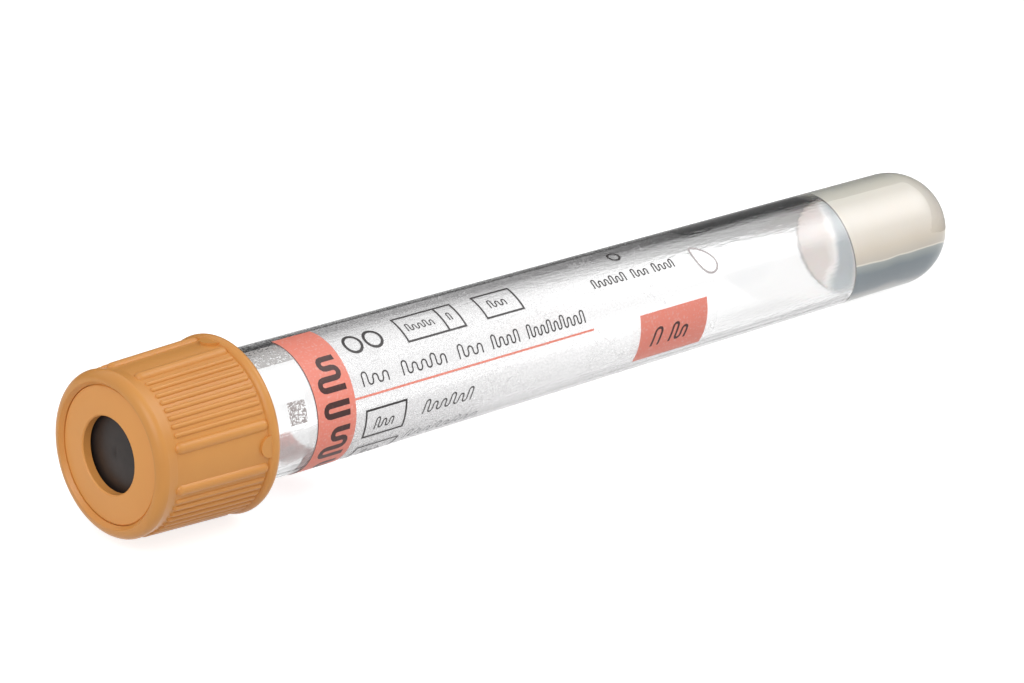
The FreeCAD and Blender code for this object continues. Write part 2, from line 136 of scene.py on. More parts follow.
class Section:
    """A profile beside the axis, drawn corner by corner and then turned round it."""

    def __init__(self, place: float, radius: float) -> None:
        """Starts the profile at one corner.

        Args:
            place: distance along the axis, in millimetres.
            radius: distance from the axis.
        """
        self.mesh = bmesh.new()
        self.first = self.tip = self.mesh.verts.new((radius * MM, 0.0, place * MM))

    def line(self, place: float, radius: float) -> Section:
        """Draws a straight edge to the next corner.

        Args:
            place: distance of the corner along the axis.
            radius: distance of the corner from the axis.

        Returns:
            The same section, so that calls can be chained.
        """
        self.tip = bmesh.ops.extrude_vert_indiv(self.mesh, verts=[self.tip])["verts"][0]
        step = Vector((radius * MM, 0.0, place * MM)) - self.tip.co
        bmesh.ops.translate(self.mesh, verts=[self.tip], vec=step)
        return self

    def arc(self, centre: float, angle: float, steps: int) -> Section:
        """Draws an arc about a point of the axis, positive from the axis's way outwards.

        Args:
            centre: distance of that point along the axis.
            angle: sweep in radians.
            steps: straight edges that make up the arc.

        Returns:
            The same section.
        """
        made = bmesh.ops.spin(self.mesh, geom=[self.tip], cent=(0.0, 0.0, centre * MM),
                              axis=Y_AXIS, angle=angle, steps=steps, use_duplicate=False)
        self.tip = made["geom_last"][0]
        return self

    def close(self) -> Section:
        """Joins the last corner to the first one and returns the section."""
        self.mesh.edges.new((self.tip, self.first))
        return self

    def turned(self, steps: int) -> bmesh.types.BMesh:
        """Turns the profile all the way round the axis.

        Args:
            steps: facets of a full turn.

        Returns:
            The closed mesh.
        """
        mesh = self.mesh
        bmesh.ops.spin(mesh, geom=[*mesh.verts, *mesh.edges], cent=ORIGIN, axis=Z_AXIS,
                       angle=math.tau, steps=steps, use_merge=True, use_duplicate=False)
        bmesh.ops.remove_doubles(mesh, verts=mesh.verts, dist=SAME_POINT)
        on_axis = [edge for edge in mesh.edges if not edge.link_faces]
        bmesh.ops.delete(mesh, geom=on_axis, context="EDGES")
        bmesh.ops.recalc_face_normals(mesh, faces=mesh.faces)
        mesh.normal_update()
        return mesh


def set_edges(mesh: bmesh.types.BMesh) -> None:
    """Shades the faces smooth and keeps the edges that turn sharply.

    Args:
        mesh: the mesh to shade.
    """
    for face in mesh.faces:
        face.smooth = True
    for edge in mesh.edges:
        edge.smooth = len(edge.link_faces) != 2 or edge.calc_face_angle(0.0) < SHARP


def finish_piece(name: str, mesh: bmesh.types.BMesh, finishes: list[Finish], lie: Lie,
                 body: str) -> bpy.types.Object:
    """Makes the object of a drawn mesh, lays it in the row frame and dresses it.

    Args:
        name: the piece's name.
        mesh: its mesh in the tube's own frame, which is freed.
        finishes: one finish for each material index.
        lie: how the tube lies.
        body: the body that carries the piece.

    Returns:
        The object, which rides on its body.
    """
    set_edges(mesh)
    bmesh.ops.transform(mesh, matrix=lie.matrix(), verts=mesh.verts)
    data = bpy.data.meshes.new(name)
    mesh.to_mesh(data)
    mesh.free()
    piece = bpy.data.objects.new(name, data)
    bpy.context.scene.collection.objects.link(piece)
    for finish in finishes:
        data.materials.append(finish.material())
    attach(piece, body)
    LOG.info("%s: %d faces", name, len(data.polygons))
    return piece


# ---------------------------------------------------------------- finishes

# Colours are linear, and the scales of patterns are in repeats per metre.

Colour = tuple[float, float, float]
WHITE = (1.0, 1.0, 1.0, 1.0)
EVEN = (1.0, 1.0, 1.0)
# Most of a noise lies between these numbers.
NOISE_BULK = (0.3, 0.7)


@dataclass(frozen=True)
class Finish:
    """What every finish has, and its material, which is built once.

    Attributes:
        name: the material's name.
        slot: the record's slot; not used by this script.
    """

    name: str
    slot: str

    def material(self) -> bpy.types.Material:
        """Finds the material, which is built the first time that it is asked for.

        Returns:
            The material.
        """
        found = bpy.data.materials.get(self.name)
        if found:
            return found
        made = bpy.data.materials.new(self.name)
        self.build(Nodes(made))
        return made

    def build(self, nodes: Nodes) -> None:
        """Sets the material's nodes; each finish has its own way.

        Args:
            nodes: the tree of the new material.
        """
        raise NotImplementedError


class Nodes:
    """A short way to add and link the nodes of a material, a lamp or the world."""

    def __init__(self, owner: bpy.types.Material | bpy.types.Light | bpy.types.World) -> None:
        """Takes over a new material, lamp or world, with Blender's own two nodes in it.

        Args:
            owner: what the nodes belong to.
        """
        owner.use_nodes = True
        self.tree = owner.node_tree
        nodes = self.tree.nodes
        self.output = next(node for node in nodes if "Output" in node.bl_idname)
        self.shader = next(node for node in nodes if node != self.output)

    def add(self, kind: str, **values: object) -> bpy.types.Node:
        """Adds a node.

        Args:
            kind: the node's class name, without the ShaderNode that it starts with.
            **values: its own settings, or the values of its inputs by name.

        Returns:
            The node.
        """
        node = self.tree.nodes.new(f"ShaderNode{kind}")
        for key, value in values.items():
            if hasattr(node, key):
                setattr(node, key, value)
            else:
                node.inputs[key.replace("_", " ")].default_value = value
        return node

    def link(self, source: bpy.types.NodeSocket, target: bpy.types.NodeSocket) -> None:
        """Joins an output to an input."""
        self.tree.links.new(source, target)

    def set(self, **values: object) -> None:
        """Sets inputs of the shader by their names, with underscores for spaces."""
        for key, value in values.items():
            self.shader.inputs[key.replace("_", " ")].default_value = value

    def places(self, stretch: Colour = EVEN) -> bpy.types.NodeSocket:
        """Object coordinates, stretched along the axes.

        Args:
            stretch: how often a pattern repeats along X, Y and Z, as a share of its scale.

        Returns:
            The output to feed to a texture.
        """
        where = self.add("TexCoord")
        made = self.add("Mapping", Scale=stretch)
        self.link(where.outputs["Object"], made.inputs["Vector"])
        return made.outputs["Vector"]

    def noise(self, scale: float, detail: float, stretch: Colour = EVEN) -> bpy.types.NodeSocket:
        """A noise of a number, on Object coordinates.

        Args:
            scale: how fine it is, in repeats per metre.
            detail: how many finer layers it has.
            stretch: how often it repeats along X, Y and Z, as a share of its scale.

        Returns:
            Its number.
        """
        made = self.add("TexNoise", Scale=scale, Detail=detail)
        self.link(self.places(stretch), made.inputs["Vector"])
        return made.outputs["Fac"]

    def paint(self, number: bpy.types.NodeSocket, stops: list[tuple[float, Colour]]) -> None:
        """Colours the shader by a number.

        Args:
            number: the number.
            stops: pairs of a place from 0 to 1 and a colour there.
        """
        made = self.add("ValToRGB")
        elements = made.color_ramp.elements
        for index, (place, colour) in enumerate(stops):
            stop = elements[index] if index < 2 else elements.new(place)
            stop.position = place
            stop.color = (*colour, 1.0)
        self.link(number, made.inputs["Fac"])
        self.link(made.outputs["Color"], self.shader.inputs["Base Color"])

    def math(self, operation: str, *values: bpy.types.NodeSocket | float) -> bpy.types.NodeSocket:
        """Works out a number.

        Args:
            operation: what is done.
            *values: outputs or plain numbers, in order.

        Returns:
            The result.
        """
        made = self.add("Math", operation=operation)
        for socket, value in zip(made.inputs, values):
            if isinstance(value, bpy.types.NodeSocket):
                self.link(value, socket)
            else:
                socket.default_value = value
        return made.outputs[0]

    def fade(self, number: bpy.types.NodeSocket, low: float, high: float, first: float,
             last: float) -> bpy.types.NodeSocket:
        """Turns a stretch of numbers into another one, and holds its ends.

        Args:
            number: the number.
            low: where the stretch begins.
            high: where it ends.
            first: the result at its beginning.
            last: the result at its end.

        Returns:
            The result.
        """
        made = self.add("MapRange", clamp=True)
        self.link(number, made.inputs["Value"])
        limits = {"From Min": low, "From Max": high, "To Min": first, "To Max": last}
        for key, value in limits.items():
            made.inputs[key].default_value = value
        return made.outputs["Result"]

    def wander(self, scale: float, detail: float, reach: float) -> bpy.types.NodeSocket:
        """A noise that swings evenly about 0.

        Args:
            scale: how fine it is, in repeats per metre.
            detail: how many finer layers it has.
            reach: how far it swings to either side.

        Returns:
            Its number.
        """
        return self.fade(self.noise(scale, detail), *NOISE_BULK, -reach, reach)

    def warped(self, scale: float, reach: float) -> bpy.types.NodeSocket:
        """Object coordinates that are shifted about, so that a pattern loses its straight lines.

        Args:
            scale: how fine the shifts are, in repeats per metre.
            reach: how far they go, in metres.

        Returns:
            The shifted coordinates.
        """
        where = self.places()
        shifts = self.add("TexNoise", Scale=scale, Detail=2.0)
        self.link(where, shifts.inputs["Vector"])
        push = self.add("VectorMath", operation="MULTIPLY_ADD")
        self.link(shifts.outputs["Color"], push.inputs[0])
        push.inputs[1].default_value = (reach, reach, reach)
        self.link(where, push.inputs[2])
        return push.outputs["Vector"]

    def own_places(self, lie: Lie) -> list[bpy.types.NodeSocket]:
        """The tube's own coordinates: up from the axis, to the viewer's side and along it.

        Args:
            lie: how the tube lies.

        Returns:
            The three numbers, in metres.
        """
        back = lie.matrix().inverted()
        where = self.add("TexCoord")
        turned = self.add("Mapping", Location=back.to_translation(), Rotation=back.to_euler())
        self.link(where.outputs["Object"], turned.inputs["Vector"])
        split = self.add("SeparateXYZ")
        self.link(turned.outputs["Vector"], split.inputs["Vector"])
        return list(split.outputs)

    def bump(self, height: bpy.types.NodeSocket, depth: float, strength: float) -> None:
        """Roughens the shader's surface.

        Args:
            height: a number from 0 to 1.
            depth: how deep a full step of it is, in metres.
            strength: how much of it shows.
        """
        made = self.add("Bump", Distance=depth, Strength=strength)
        self.link(height, made.inputs["Height"])
        self.link(made.outputs["Normal"], self.shader.inputs["Normal"])

    def blend(self, share: bpy.types.NodeSocket, first: bpy.types.NodeSocket,
              second: bpy.types.NodeSocket) -> bpy.types.NodeSocket:
        """Mixes two shaders.

        Args:
            share: how much of the second one there is.
            first: the first shader.
            second: the second shader.

        Returns:
            The mixed shader.
        """
        made = self.add("MixShader")
        for socket, source in zip(made.inputs, (share, first, second)):
            self.link(source, socket)
        return made.outputs[0]

    def glow(self, strength: float) -> bpy.types.NodeSocket:
        """Adds a white glow of some strength, and returns its shader."""
        return self.add("Emission", Strength=strength).outputs[0]

    def show(self, shader: bpy.types.NodeSocket) -> None:
        """Makes this shader the one that is seen."""
        self.link(shader, self.output.inputs["Surface"])


@dataclass(frozen=True)
class MouldedPlastic(Finish):
    """Satin moulded plastic: two close tones, a fine grain and a soft glow inside.

    Attributes:
        tone: the colour.
        deep: the colour of its darker clouds.
        roughness: how dull it is.
        glow: how much light goes into it.
    """

    tone: Colour
    deep: Colour
    roughness: float
    glow: float = 0.06

    CLOUDS = 180.0
    GRAIN = 9000.0
    GRAIN_DEPTH = 0.02 * MM

    def build(self, nodes: Nodes) -> None:
        """Sets the material's nodes.

        Args:
            nodes: the tree of the new material.
        """
        nodes.paint(nodes.noise(self.CLOUDS, detail=3.0), [(0.3, self.deep), (0.7, self.tone)])
        nodes.bump(nodes.noise(self.GRAIN, detail=3.0), self.GRAIN_DEPTH, strength=0.25)
        nodes.set(Roughness=self.roughness, IOR=1.44, Subsurface_Weight=self.glow,
                  Subsurface_Radius=(1.0, 0.45, 0.2), Subsurface_Scale=0.6 * MM)


@dataclass(frozen=True)
class ClearPlastic(Finish):
    """Clear polished plastic that bends light and lets lamps through.

    Attributes:
        bend: its index of refraction.
        roughness: how dull it is.
        grain: depth of the fine streaks on it, in metres, or 0 on a polished face.
    """

    bend: float
    roughness: float = 0.0
    grain: float = 0.0

    STREAKS = 3600.0
    STREAK_STRETCH = (0.2, 1.0, 1.0)

    def build(self, nodes: Nodes) -> None:
        """Sets the material's nodes.

        Args:
            nodes: the tree of the new material.
        """
        nodes.set(Base_Color=WHITE, Roughness=self.roughness, IOR=self.bend,
                  Transmission_Weight=1.0)
        if self.grain:
            streaks = nodes.noise(self.STREAKS, detail=5.0, stretch=self.STREAK_STRETCH)
            nodes.bump(streaks, self.grain, strength=1.0)
        shadow = nodes.add("LightPath").outputs["Is Shadow Ray"]
        clear = nodes.add("BsdfTransparent").outputs[0]
        nodes.show(nodes.blend(shadow, nodes.shader.outputs[0], clear))


@dataclass(frozen=True)
class Film(Finish):
    """Clear label film: faintly milky and grainy, with fine crinkles where air got under it.

    Attributes:
        lie: how the tube lies.
        haze: share of light that each face scatters near the cap.
        clear_end: the same share at the end away from the cap.
        crinkle: share that a crinkle scatters.
        cell: crinkles in a metre.
    """

    lie: Lie
    haze: float
    clear_end: float
    crinkle: float = 0.28
    cell: float = 430.0

    MILK = (0.78, 0.77, 0.775, 1.0)
    # Crinkles run along the edges of warped cells and show in patches.
    WARP = 1300.0
    WARP_REACH = 1.3 * MM
    CRINKLE_EDGE = (0.004, 0.022)
    PATCHES = 170.0
    PATCH_EDGE = (0.47, 0.6)
    # The haze thins out between two places on the axis, and a fine grain swings it.
    HAZE_ENDS = (38.0 * MM, 71.0 * MM)
    GRAIN = 5200.0
    GRAIN_EDGE = (0.36, 0.62)
    GRAIN_SWING = (0.65, 1.35)

    def build(self, nodes: Nodes) -> None:
        """Sets the material's nodes.

        Args:
            nodes: the tree of the new material.
        """
        nodes.set(Base_Color=self.MILK, Roughness=0.25, IOR=1.3)
        cells = nodes.add("TexVoronoi", feature="DISTANCE_TO_EDGE", Scale=self.cell)
        nodes.link(nodes.warped(self.WARP, self.WARP_REACH), cells.inputs["Vector"])
        lines = nodes.fade(cells.outputs["Distance"], *self.CRINKLE_EDGE, self.crinkle, 0.0)
        patches = nodes.fade(nodes.noise(self.PATCHES, detail=2.0), *self.PATCH_EDGE, 0.0, 1.0)
        *_, along = nodes.own_places(self.lie)
        haze = nodes.fade(along, *self.HAZE_ENDS, self.haze, self.clear_end)
        grain = nodes.noise(self.GRAIN, detail=3.0)
        grain = nodes.fade(grain, *self.GRAIN_EDGE, *self.GRAIN_SWING)
        share = nodes.math("ADD", nodes.math("MULTIPLY", lines, patches),
                           nodes.math("MULTIPLY", haze, grain))
        clear = nodes.add("BsdfTransparent").outputs[0]
        nodes.show(nodes.blend(share, clear, nodes.shader.outputs[0]))


@dataclass(frozen=True)
class Ink(Finish):
    """Printing ink with tiny pale pinholes.

    Attributes:
        tone: its colour.
        worn: the colour of its thin spots.
        cover: how much it hides.
    """

    tone: Colour
    worn: Colour
    cover: float = 1.0

    PINHOLES = 4500.0

    def build(self, nodes: Nodes) -> None:
        """Sets the material's nodes.

        Args:
            nodes: the tree of the new material.
        """
        nodes.paint(nodes.noise(self.PINHOLES, detail=2.0), [(0.3, self.worn), (0.45, self.tone)])
        nodes.set(Roughness=0.4, IOR=1.45, Alpha=self.cover)


@dataclass(frozen=True)
class Speckle(Finish):
    """A patch of loose specks.

    Attributes:
        tone: the colour of the specks.
        fine: specks in a metre.
        start: the least noise that shows as a speck.
        cover: how much a speck hides.
    """

    tone: Colour
    fine: float
    start: float
    cover: float

    # How far above the start a speck shows in full.
    SOFTNESS = 0.12

    def build(self, nodes: Nodes) -> None:
        """Sets the material's nodes.

        Args:
            nodes: the tree of the new material.
        """
        grain = nodes.noise(self.fine, detail=3.0)
        specks = nodes.fade(grain, self.start, self.start + self.SOFTNESS, 0.0, self.cover)
        nodes.link(specks, nodes.shader.inputs["Alpha"])
        nodes.set(Base_Color=(*self.tone, 1.0), Roughness=0.6)


@dataclass(frozen=True)
class MilkyGel(Finish):
    """Separator gel in bands: its own milky cream, with painted light and shade laid on it.

    Its upper side is lit cream, a thin pale band is a painted highlight line, and the dark bluish
    underside is painted shade over the gel's own bluish opalescence.

    Attributes:
        lie: how the tube lies.
        layers: pairs of a height and the colour there, which hold the painted light and shade.
            Heights run from -1 to 1.
        lean: degrees that the painted bands lean to the viewer's side.
        reach: the height that 1 stands for, in millimetres.
    """

    lie: Lie
    layers: tuple[tuple[float, Colour], ...]
    lean: float = 21.5
    reach: float = 5.0

    WANDER = 230.0
    WANDER_REACH = 0.014

    def build(self, nodes: Nodes) -> None:
        """Sets the material's nodes.

        Args:
            nodes: the tree of the new material.
        """
        lean, reach = math.radians(self.lean), self.reach * MM
        upward, sideways, _ = nodes.own_places(self.lie)
        height = nodes.math("SUBTRACT", nodes.math("MULTIPLY", upward, math.cos(lean)),
                            nodes.math("MULTIPLY", sideways, math.sin(lean)))
        share = nodes.math("ADD", nodes.fade(height, -reach, reach, 0.0, 1.0),
                           nodes.wander(self.WANDER, detail=1.0, reach=self.WANDER_REACH))
        # Paints the bands of cream, painted highlight and painted shade by height.
        nodes.paint(share, [((level + 1.0) / 2.0, colour) for level, colour in self.layers])
        nodes.set(Roughness=0.3, IOR=1.4, Subsurface_Weight=0.3,
                  Subsurface_Radius=(1.0, 0.8, 0.6), Subsurface_Scale=0.5 * MM)


@dataclass(frozen=True)
class GelFace(Finish):
    """The hollow face of the gel: pinkish far side, bluish painted shade on the near side and a pale
    painted highlight bow between.

    Attributes:
        lie: how the tube lies.
        far: its colour at the far side.
        near: its bluish painted shade at the near side.
        pale: the painted highlight of the bow between them.
        reach: half its width in millimetres.
    """

    lie: Lie
    far: Colour
    near: Colour
    pale: Colour
    reach: float = 5.0

    WANDER = 420.0
    WANDER_REACH = 0.05
    # Where its colours stand on the way from the far side to the near one.
    STOPS = (0.1, 0.36, 0.46, 0.57, 0.8, 1.0)

    def build(self, nodes: Nodes) -> None:
        """Sets the material's nodes.

        Args:
            nodes: the tree of the new material.
        """
        reach = self.reach * MM
        _, sideways, _ = nodes.own_places(self.lie)
        share = nodes.math("ADD", nodes.fade(sideways, -reach, reach, 0.0, 1.0),
                           nodes.wander(self.WANDER, detail=2.0, reach=self.WANDER_REACH))
        # The near side's bluish tone is painted shade, and the pale bow between is a painted
        # highlight.
        colours = (self.far, self.far, self.pale, self.near, self.near, self.far)
        nodes.paint(share, list(zip(self.STOPS, colours)))
        nodes.set(Roughness=0.5, IOR=1.25, Subsurface_Weight=0.3, Subsurface_Scale=0.6 * MM)


@dataclass(frozen=True)
class Rubber(Finish):
    """Dark moulded rubber with a dull bloom.

    Attributes:
        tone: its colour.
        bloom: the colour of its paler clouds.
    """

    tone: Colour
    bloom: Colour

    CLOUDS = 700.0
    GRAIN = 12000.0
    GRAIN_DEPTH = 0.02 * MM

    def build(self, nodes: Nodes) -> None:
        """Sets the material's nodes.

        Args:
            nodes: the tree of the new material.
        """
        nodes.paint(nodes.noise(self.CLOUDS, detail=4.0), [(0.35, self.tone), (0.75, self.bloom)])
        nodes.bump(nodes.noise(self.GRAIN, detail=2.0), self.GRAIN_DEPTH, strength=0.35)
        nodes.set(Roughness=0.42, IOR=1.4)


# ---------------------------------------------------------------- the tube and what is in it


@dataclass
class Barrel:
    """The clear tube: its tapered wall, round end and gate mark, in millimetres.

    Attributes:
        lie: how the tube lies.
        rim: place of its open rim.
        length: from the rim to the round end.
        radius: outside radius at the rim.
        draft: radius lost for each millimetre.
        wall: its wall.
        rim_bevel: bevel of the rim's two edges.
        nub_radius: radius of the gate mark on the round end.
        nub_height: how far the mark stands out.
        nub_bevel: bevel of the mark.
        facets: facets of a full turn.
        end_steps: facets from the wall to the tip of the round end.
    """

    lie: Lie
    rim: float = 7.42
    length: float = 100.0
    radius: float = 6.5
    draft: float = 0.0078
    wall: float = 0.95
    rim_bevel: float = 0.25
    nub_radius: float = 0.9
    nub_height: float = 0.2
    nub_bevel: float = 0.08
    facets: int = 144
    end_steps: int = 28

    @property
    def end_radius(self) -> float:
        """Radius of the round end, where it meets the tapered wall."""
        return (self.radius - self.draft * self.length) / (1 - self.draft)

    @property
    def end_centre(self) -> float:
        """Place of the round end's centre."""
        return self.rim + self.length - self.end_radius

    def outside(self, place: float) -> float:
        """Outside radius at a place on the axis."""
        return self.radius - self.draft * (place - self.rim)

    def bore(self, place: float) -> float:
        """Inside radius at a place on the axis."""
        return self.outside(place) - self.wall

    def build(self, outer: Finish, inner: Finish) -> None:
        """Makes the wall and the thread lugs in place of the frame's tube.

        Args:
            outer: finish of the outside.
            inner: finish of the bore.
        """
        wall = self.make_wall(outer, inner)
        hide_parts("tube")
        for number in (1, 2):
            ThreadLug(number).make(self.lie, outer)

    def make_wall(self, outer: Finish, inner: Finish) -> bpy.types.Object:
        """Turns the wall: rim, outside, round end with its gate mark, and bore.

        Args:
            outer: finish of the outside.
            inner: finish of the bore.

        Returns:
            The wall.
        """
        foot = math.asin(self.nub_radius / self.end_radius)
        lip = self.rim + self.rim_bevel
        tip = self.rim + self.length + self.nub_height
        section = Section(self.rim, self.bore(self.rim) + self.rim_bevel)
        section.line(self.rim, self.outside(self.rim) - self.rim_bevel)
        section.line(lip, self.outside(self.rim)).line(self.end_centre, self.end_radius)
        section.arc(self.end_centre, foot - math.pi / 2, self.end_steps)
        section.line(tip - self.nub_bevel, self.nub_radius)
        section.line(tip, self.nub_radius - self.nub_bevel).line(tip, 0.0)
        section.line(self.end_centre + (self.end_radius - self.wall), 0.0)
        section.arc(self.end_centre, math.pi / 2, self.end_steps)
        mesh = section.line(lip, self.bore(self.rim)).close().turned(self.facets)
        for face in mesh.faces:
            middle = face.calc_center_median()
            reach = math.hypot(middle.x, middle.y, max(0.0, middle.z - self.end_centre * MM))
            limit = self.outside(min(middle.z / MM, self.end_centre)) - self.wall / 2
            coat = Coat.PART if reach < limit * MM else Coat.OWN
            face.material_index = coat.value
        return finish_piece("tube_wall", mesh, [outer, inner], self.lie, "tube")


@dataclass(frozen=True)
class ThreadLug:
    """One thread lug of the neck, in millimetres and degrees.

    Attributes:
        number: which one it is; each starts half a turn after the one before.
        place: place of its middle, where it starts.
        crest: radius of its crest.
        root: radius of its root, which is inside the wall.
        crest_width: width of its crest.
        root_width: width of its root.
        lead: how far a full turn of the thread rises.
        sweep: how far it runs round the neck.
        steps: facets along it.
    """

    number: int
    place: float = 8.72
    crest: float = 6.95
    root: float = 6.35
    crest_width: float = 1.0
    root_width: float = 1.6
    lead: float = 8.0
    sweep: float = 135.0
    steps: int = 30

    def make(self, lie: Lie, finish: Finish) -> None:
        """Winds it round the neck.

        Args:
            lie: how the tube lies.
            finish: its finish.
        """
        mesh = bmesh.new()
        crest, root = self.crest_width / 2, self.root_width / 2
        corners = ((self.root, -root), (self.crest, -crest), (self.crest, crest), (self.root, root))
        mesh.faces.new([mesh.verts.new((radius * MM, 0.0, (self.place + aside) * MM))
                        for radius, aside in corners])
        start = Matrix.Rotation(math.pi * self.number, 4, "Z")
        bmesh.ops.transform(mesh, matrix=start, verts=mesh.verts)
        sweep = math.radians(self.sweep)
        rise = Vector((0.0, 0.0, self.lead * MM * sweep / math.tau / self.steps))
        bmesh.ops.spin(mesh, geom=[*mesh.faces, *mesh.edges, *mesh.verts], cent=ORIGIN, axis=Z_AXIS,
                       dvec=rise, angle=sweep, steps=self.steps, use_duplicate=False)
        bmesh.ops.recalc_face_normals(mesh, faces=mesh.faces)
        finish_piece(f"thread_lug_{self.number}", mesh, [finish], lie, "tube")


@dataclass
class GelPlug:
    """The separator gel in the round end, bonded to the wall, in millimetres.

    Attributes:
        barrel: the tube that it fills.
        edge: place of its edge on the wall.
        meniscus: depth of its hollow face.
        bond: how far it reaches into the wall, so that no gap shows.
        brim: width of the dark line where the face meets the wall.
        slope: how far the face leans back at its deepest side, and how far all of it does.
        low_side: turn of that deepest side, in degrees.
        face_steps: facets from the middle of the face to its edge.
    """

    barrel: Barrel
    edge: float = 91.22
    meniscus: float = 1.5
    bond: float = 0.02
    # brim: width of the painted shade line where the face meets the wall.
    brim: float = 0.10
    slope: tuple[float, float] = (1.05, 1.08)
    low_side: float = 221.0
    face_steps: int = 16

    # A facet that looks further forwards than this is part of the hollow face.
    FACING = -0.5

    @property
    def reach(self) -> float:
        """Radius of the gel at its edge."""
        return self.barrel.bore(self.edge) + self.bond

    def build(self, finish: Finish, face: Finish, line: Finish) -> None:
        """Makes the gel in place of the frame's plain solid, and the line round its face.

        Args:
            finish: its finish against the wall.
            face: the finish of its hollow face.
            line: the finish of the painted shade line round the face.
        """
        tube = self.barrel
        ball = (self.reach**2 + self.meniscus**2) / (2 * self.meniscus)
        bottom = self.edge + self.meniscus
        section = Section(bottom, 0.0)
        section.arc(bottom - ball, math.asin(self.reach / ball), self.face_steps)
        section.line(tube.end_centre, tube.end_radius - tube.wall + self.bond)
        mesh = section.arc(tube.end_centre, -math.pi / 2, tube.end_steps).turned(tube.facets)
        front = [made for made in mesh.faces if made.normal.z < self.FACING]
        for made in front:
            made.material_index = Coat.PART.value
        self.lean_back(mesh, list({vert for made in front for vert in made.verts}))
        piece = finish_piece("gel_plug", mesh, [finish, face], tube.lie, "tube")
        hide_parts("separator_gel")
        self.make_line(line)

    def lean_back(self, mesh: bmesh.types.BMesh, verts: list[bmesh.types.BMVert]) -> None:
        """Slants the face, because the gel set with the tube at rest on its side.

        Args:
            mesh: the mesh in the tube's own frame.
            verts: the corners that belong to the face.
        """
        tilt, shift = self.slope
        turn = math.radians(self.low_side)
        slant = Matrix.Identity(4)
        slant[2][0] = math.cos(turn) * tilt / self.reach
        slant[2][1] = math.sin(turn) * tilt / self.reach
        slant[2][3] = shift * MM
        bmesh.ops.transform(mesh, matrix=slant, verts=verts)

    def make_line(self, finish: Finish) -> None:
        """Turns a thin ring of painted shade round the gel's face, where it meets the wall.

        Args:
            finish: its finish.
        """
        low, high = self.reach - self.brim, self.reach
        front, back = self.edge - self.brim / 2, self.edge + self.brim / 2
        section = Section(front, low).line(front, high).line(back, high).line(back, low)
        mesh = section.close().turned(self.barrel.facets)
        self.lean_back(mesh, list(mesh.verts))
        finish_piece("gel_shade_line", mesh, [finish], self.barrel.lie, "tube")


# ---------------------------------------------------------------- the label


@dataclass(frozen=True)
class Box:
    """A rectangle on the unrolled barrel, in millimetres and degrees.

    Attributes:
        start: place of its edge nearest the cap.
        end: place of its edge nearest the round end.
        low: turn of its first long edge.
        high: turn of its second long edge.
    """

    start: float
    end: float
    low: float
    high: float


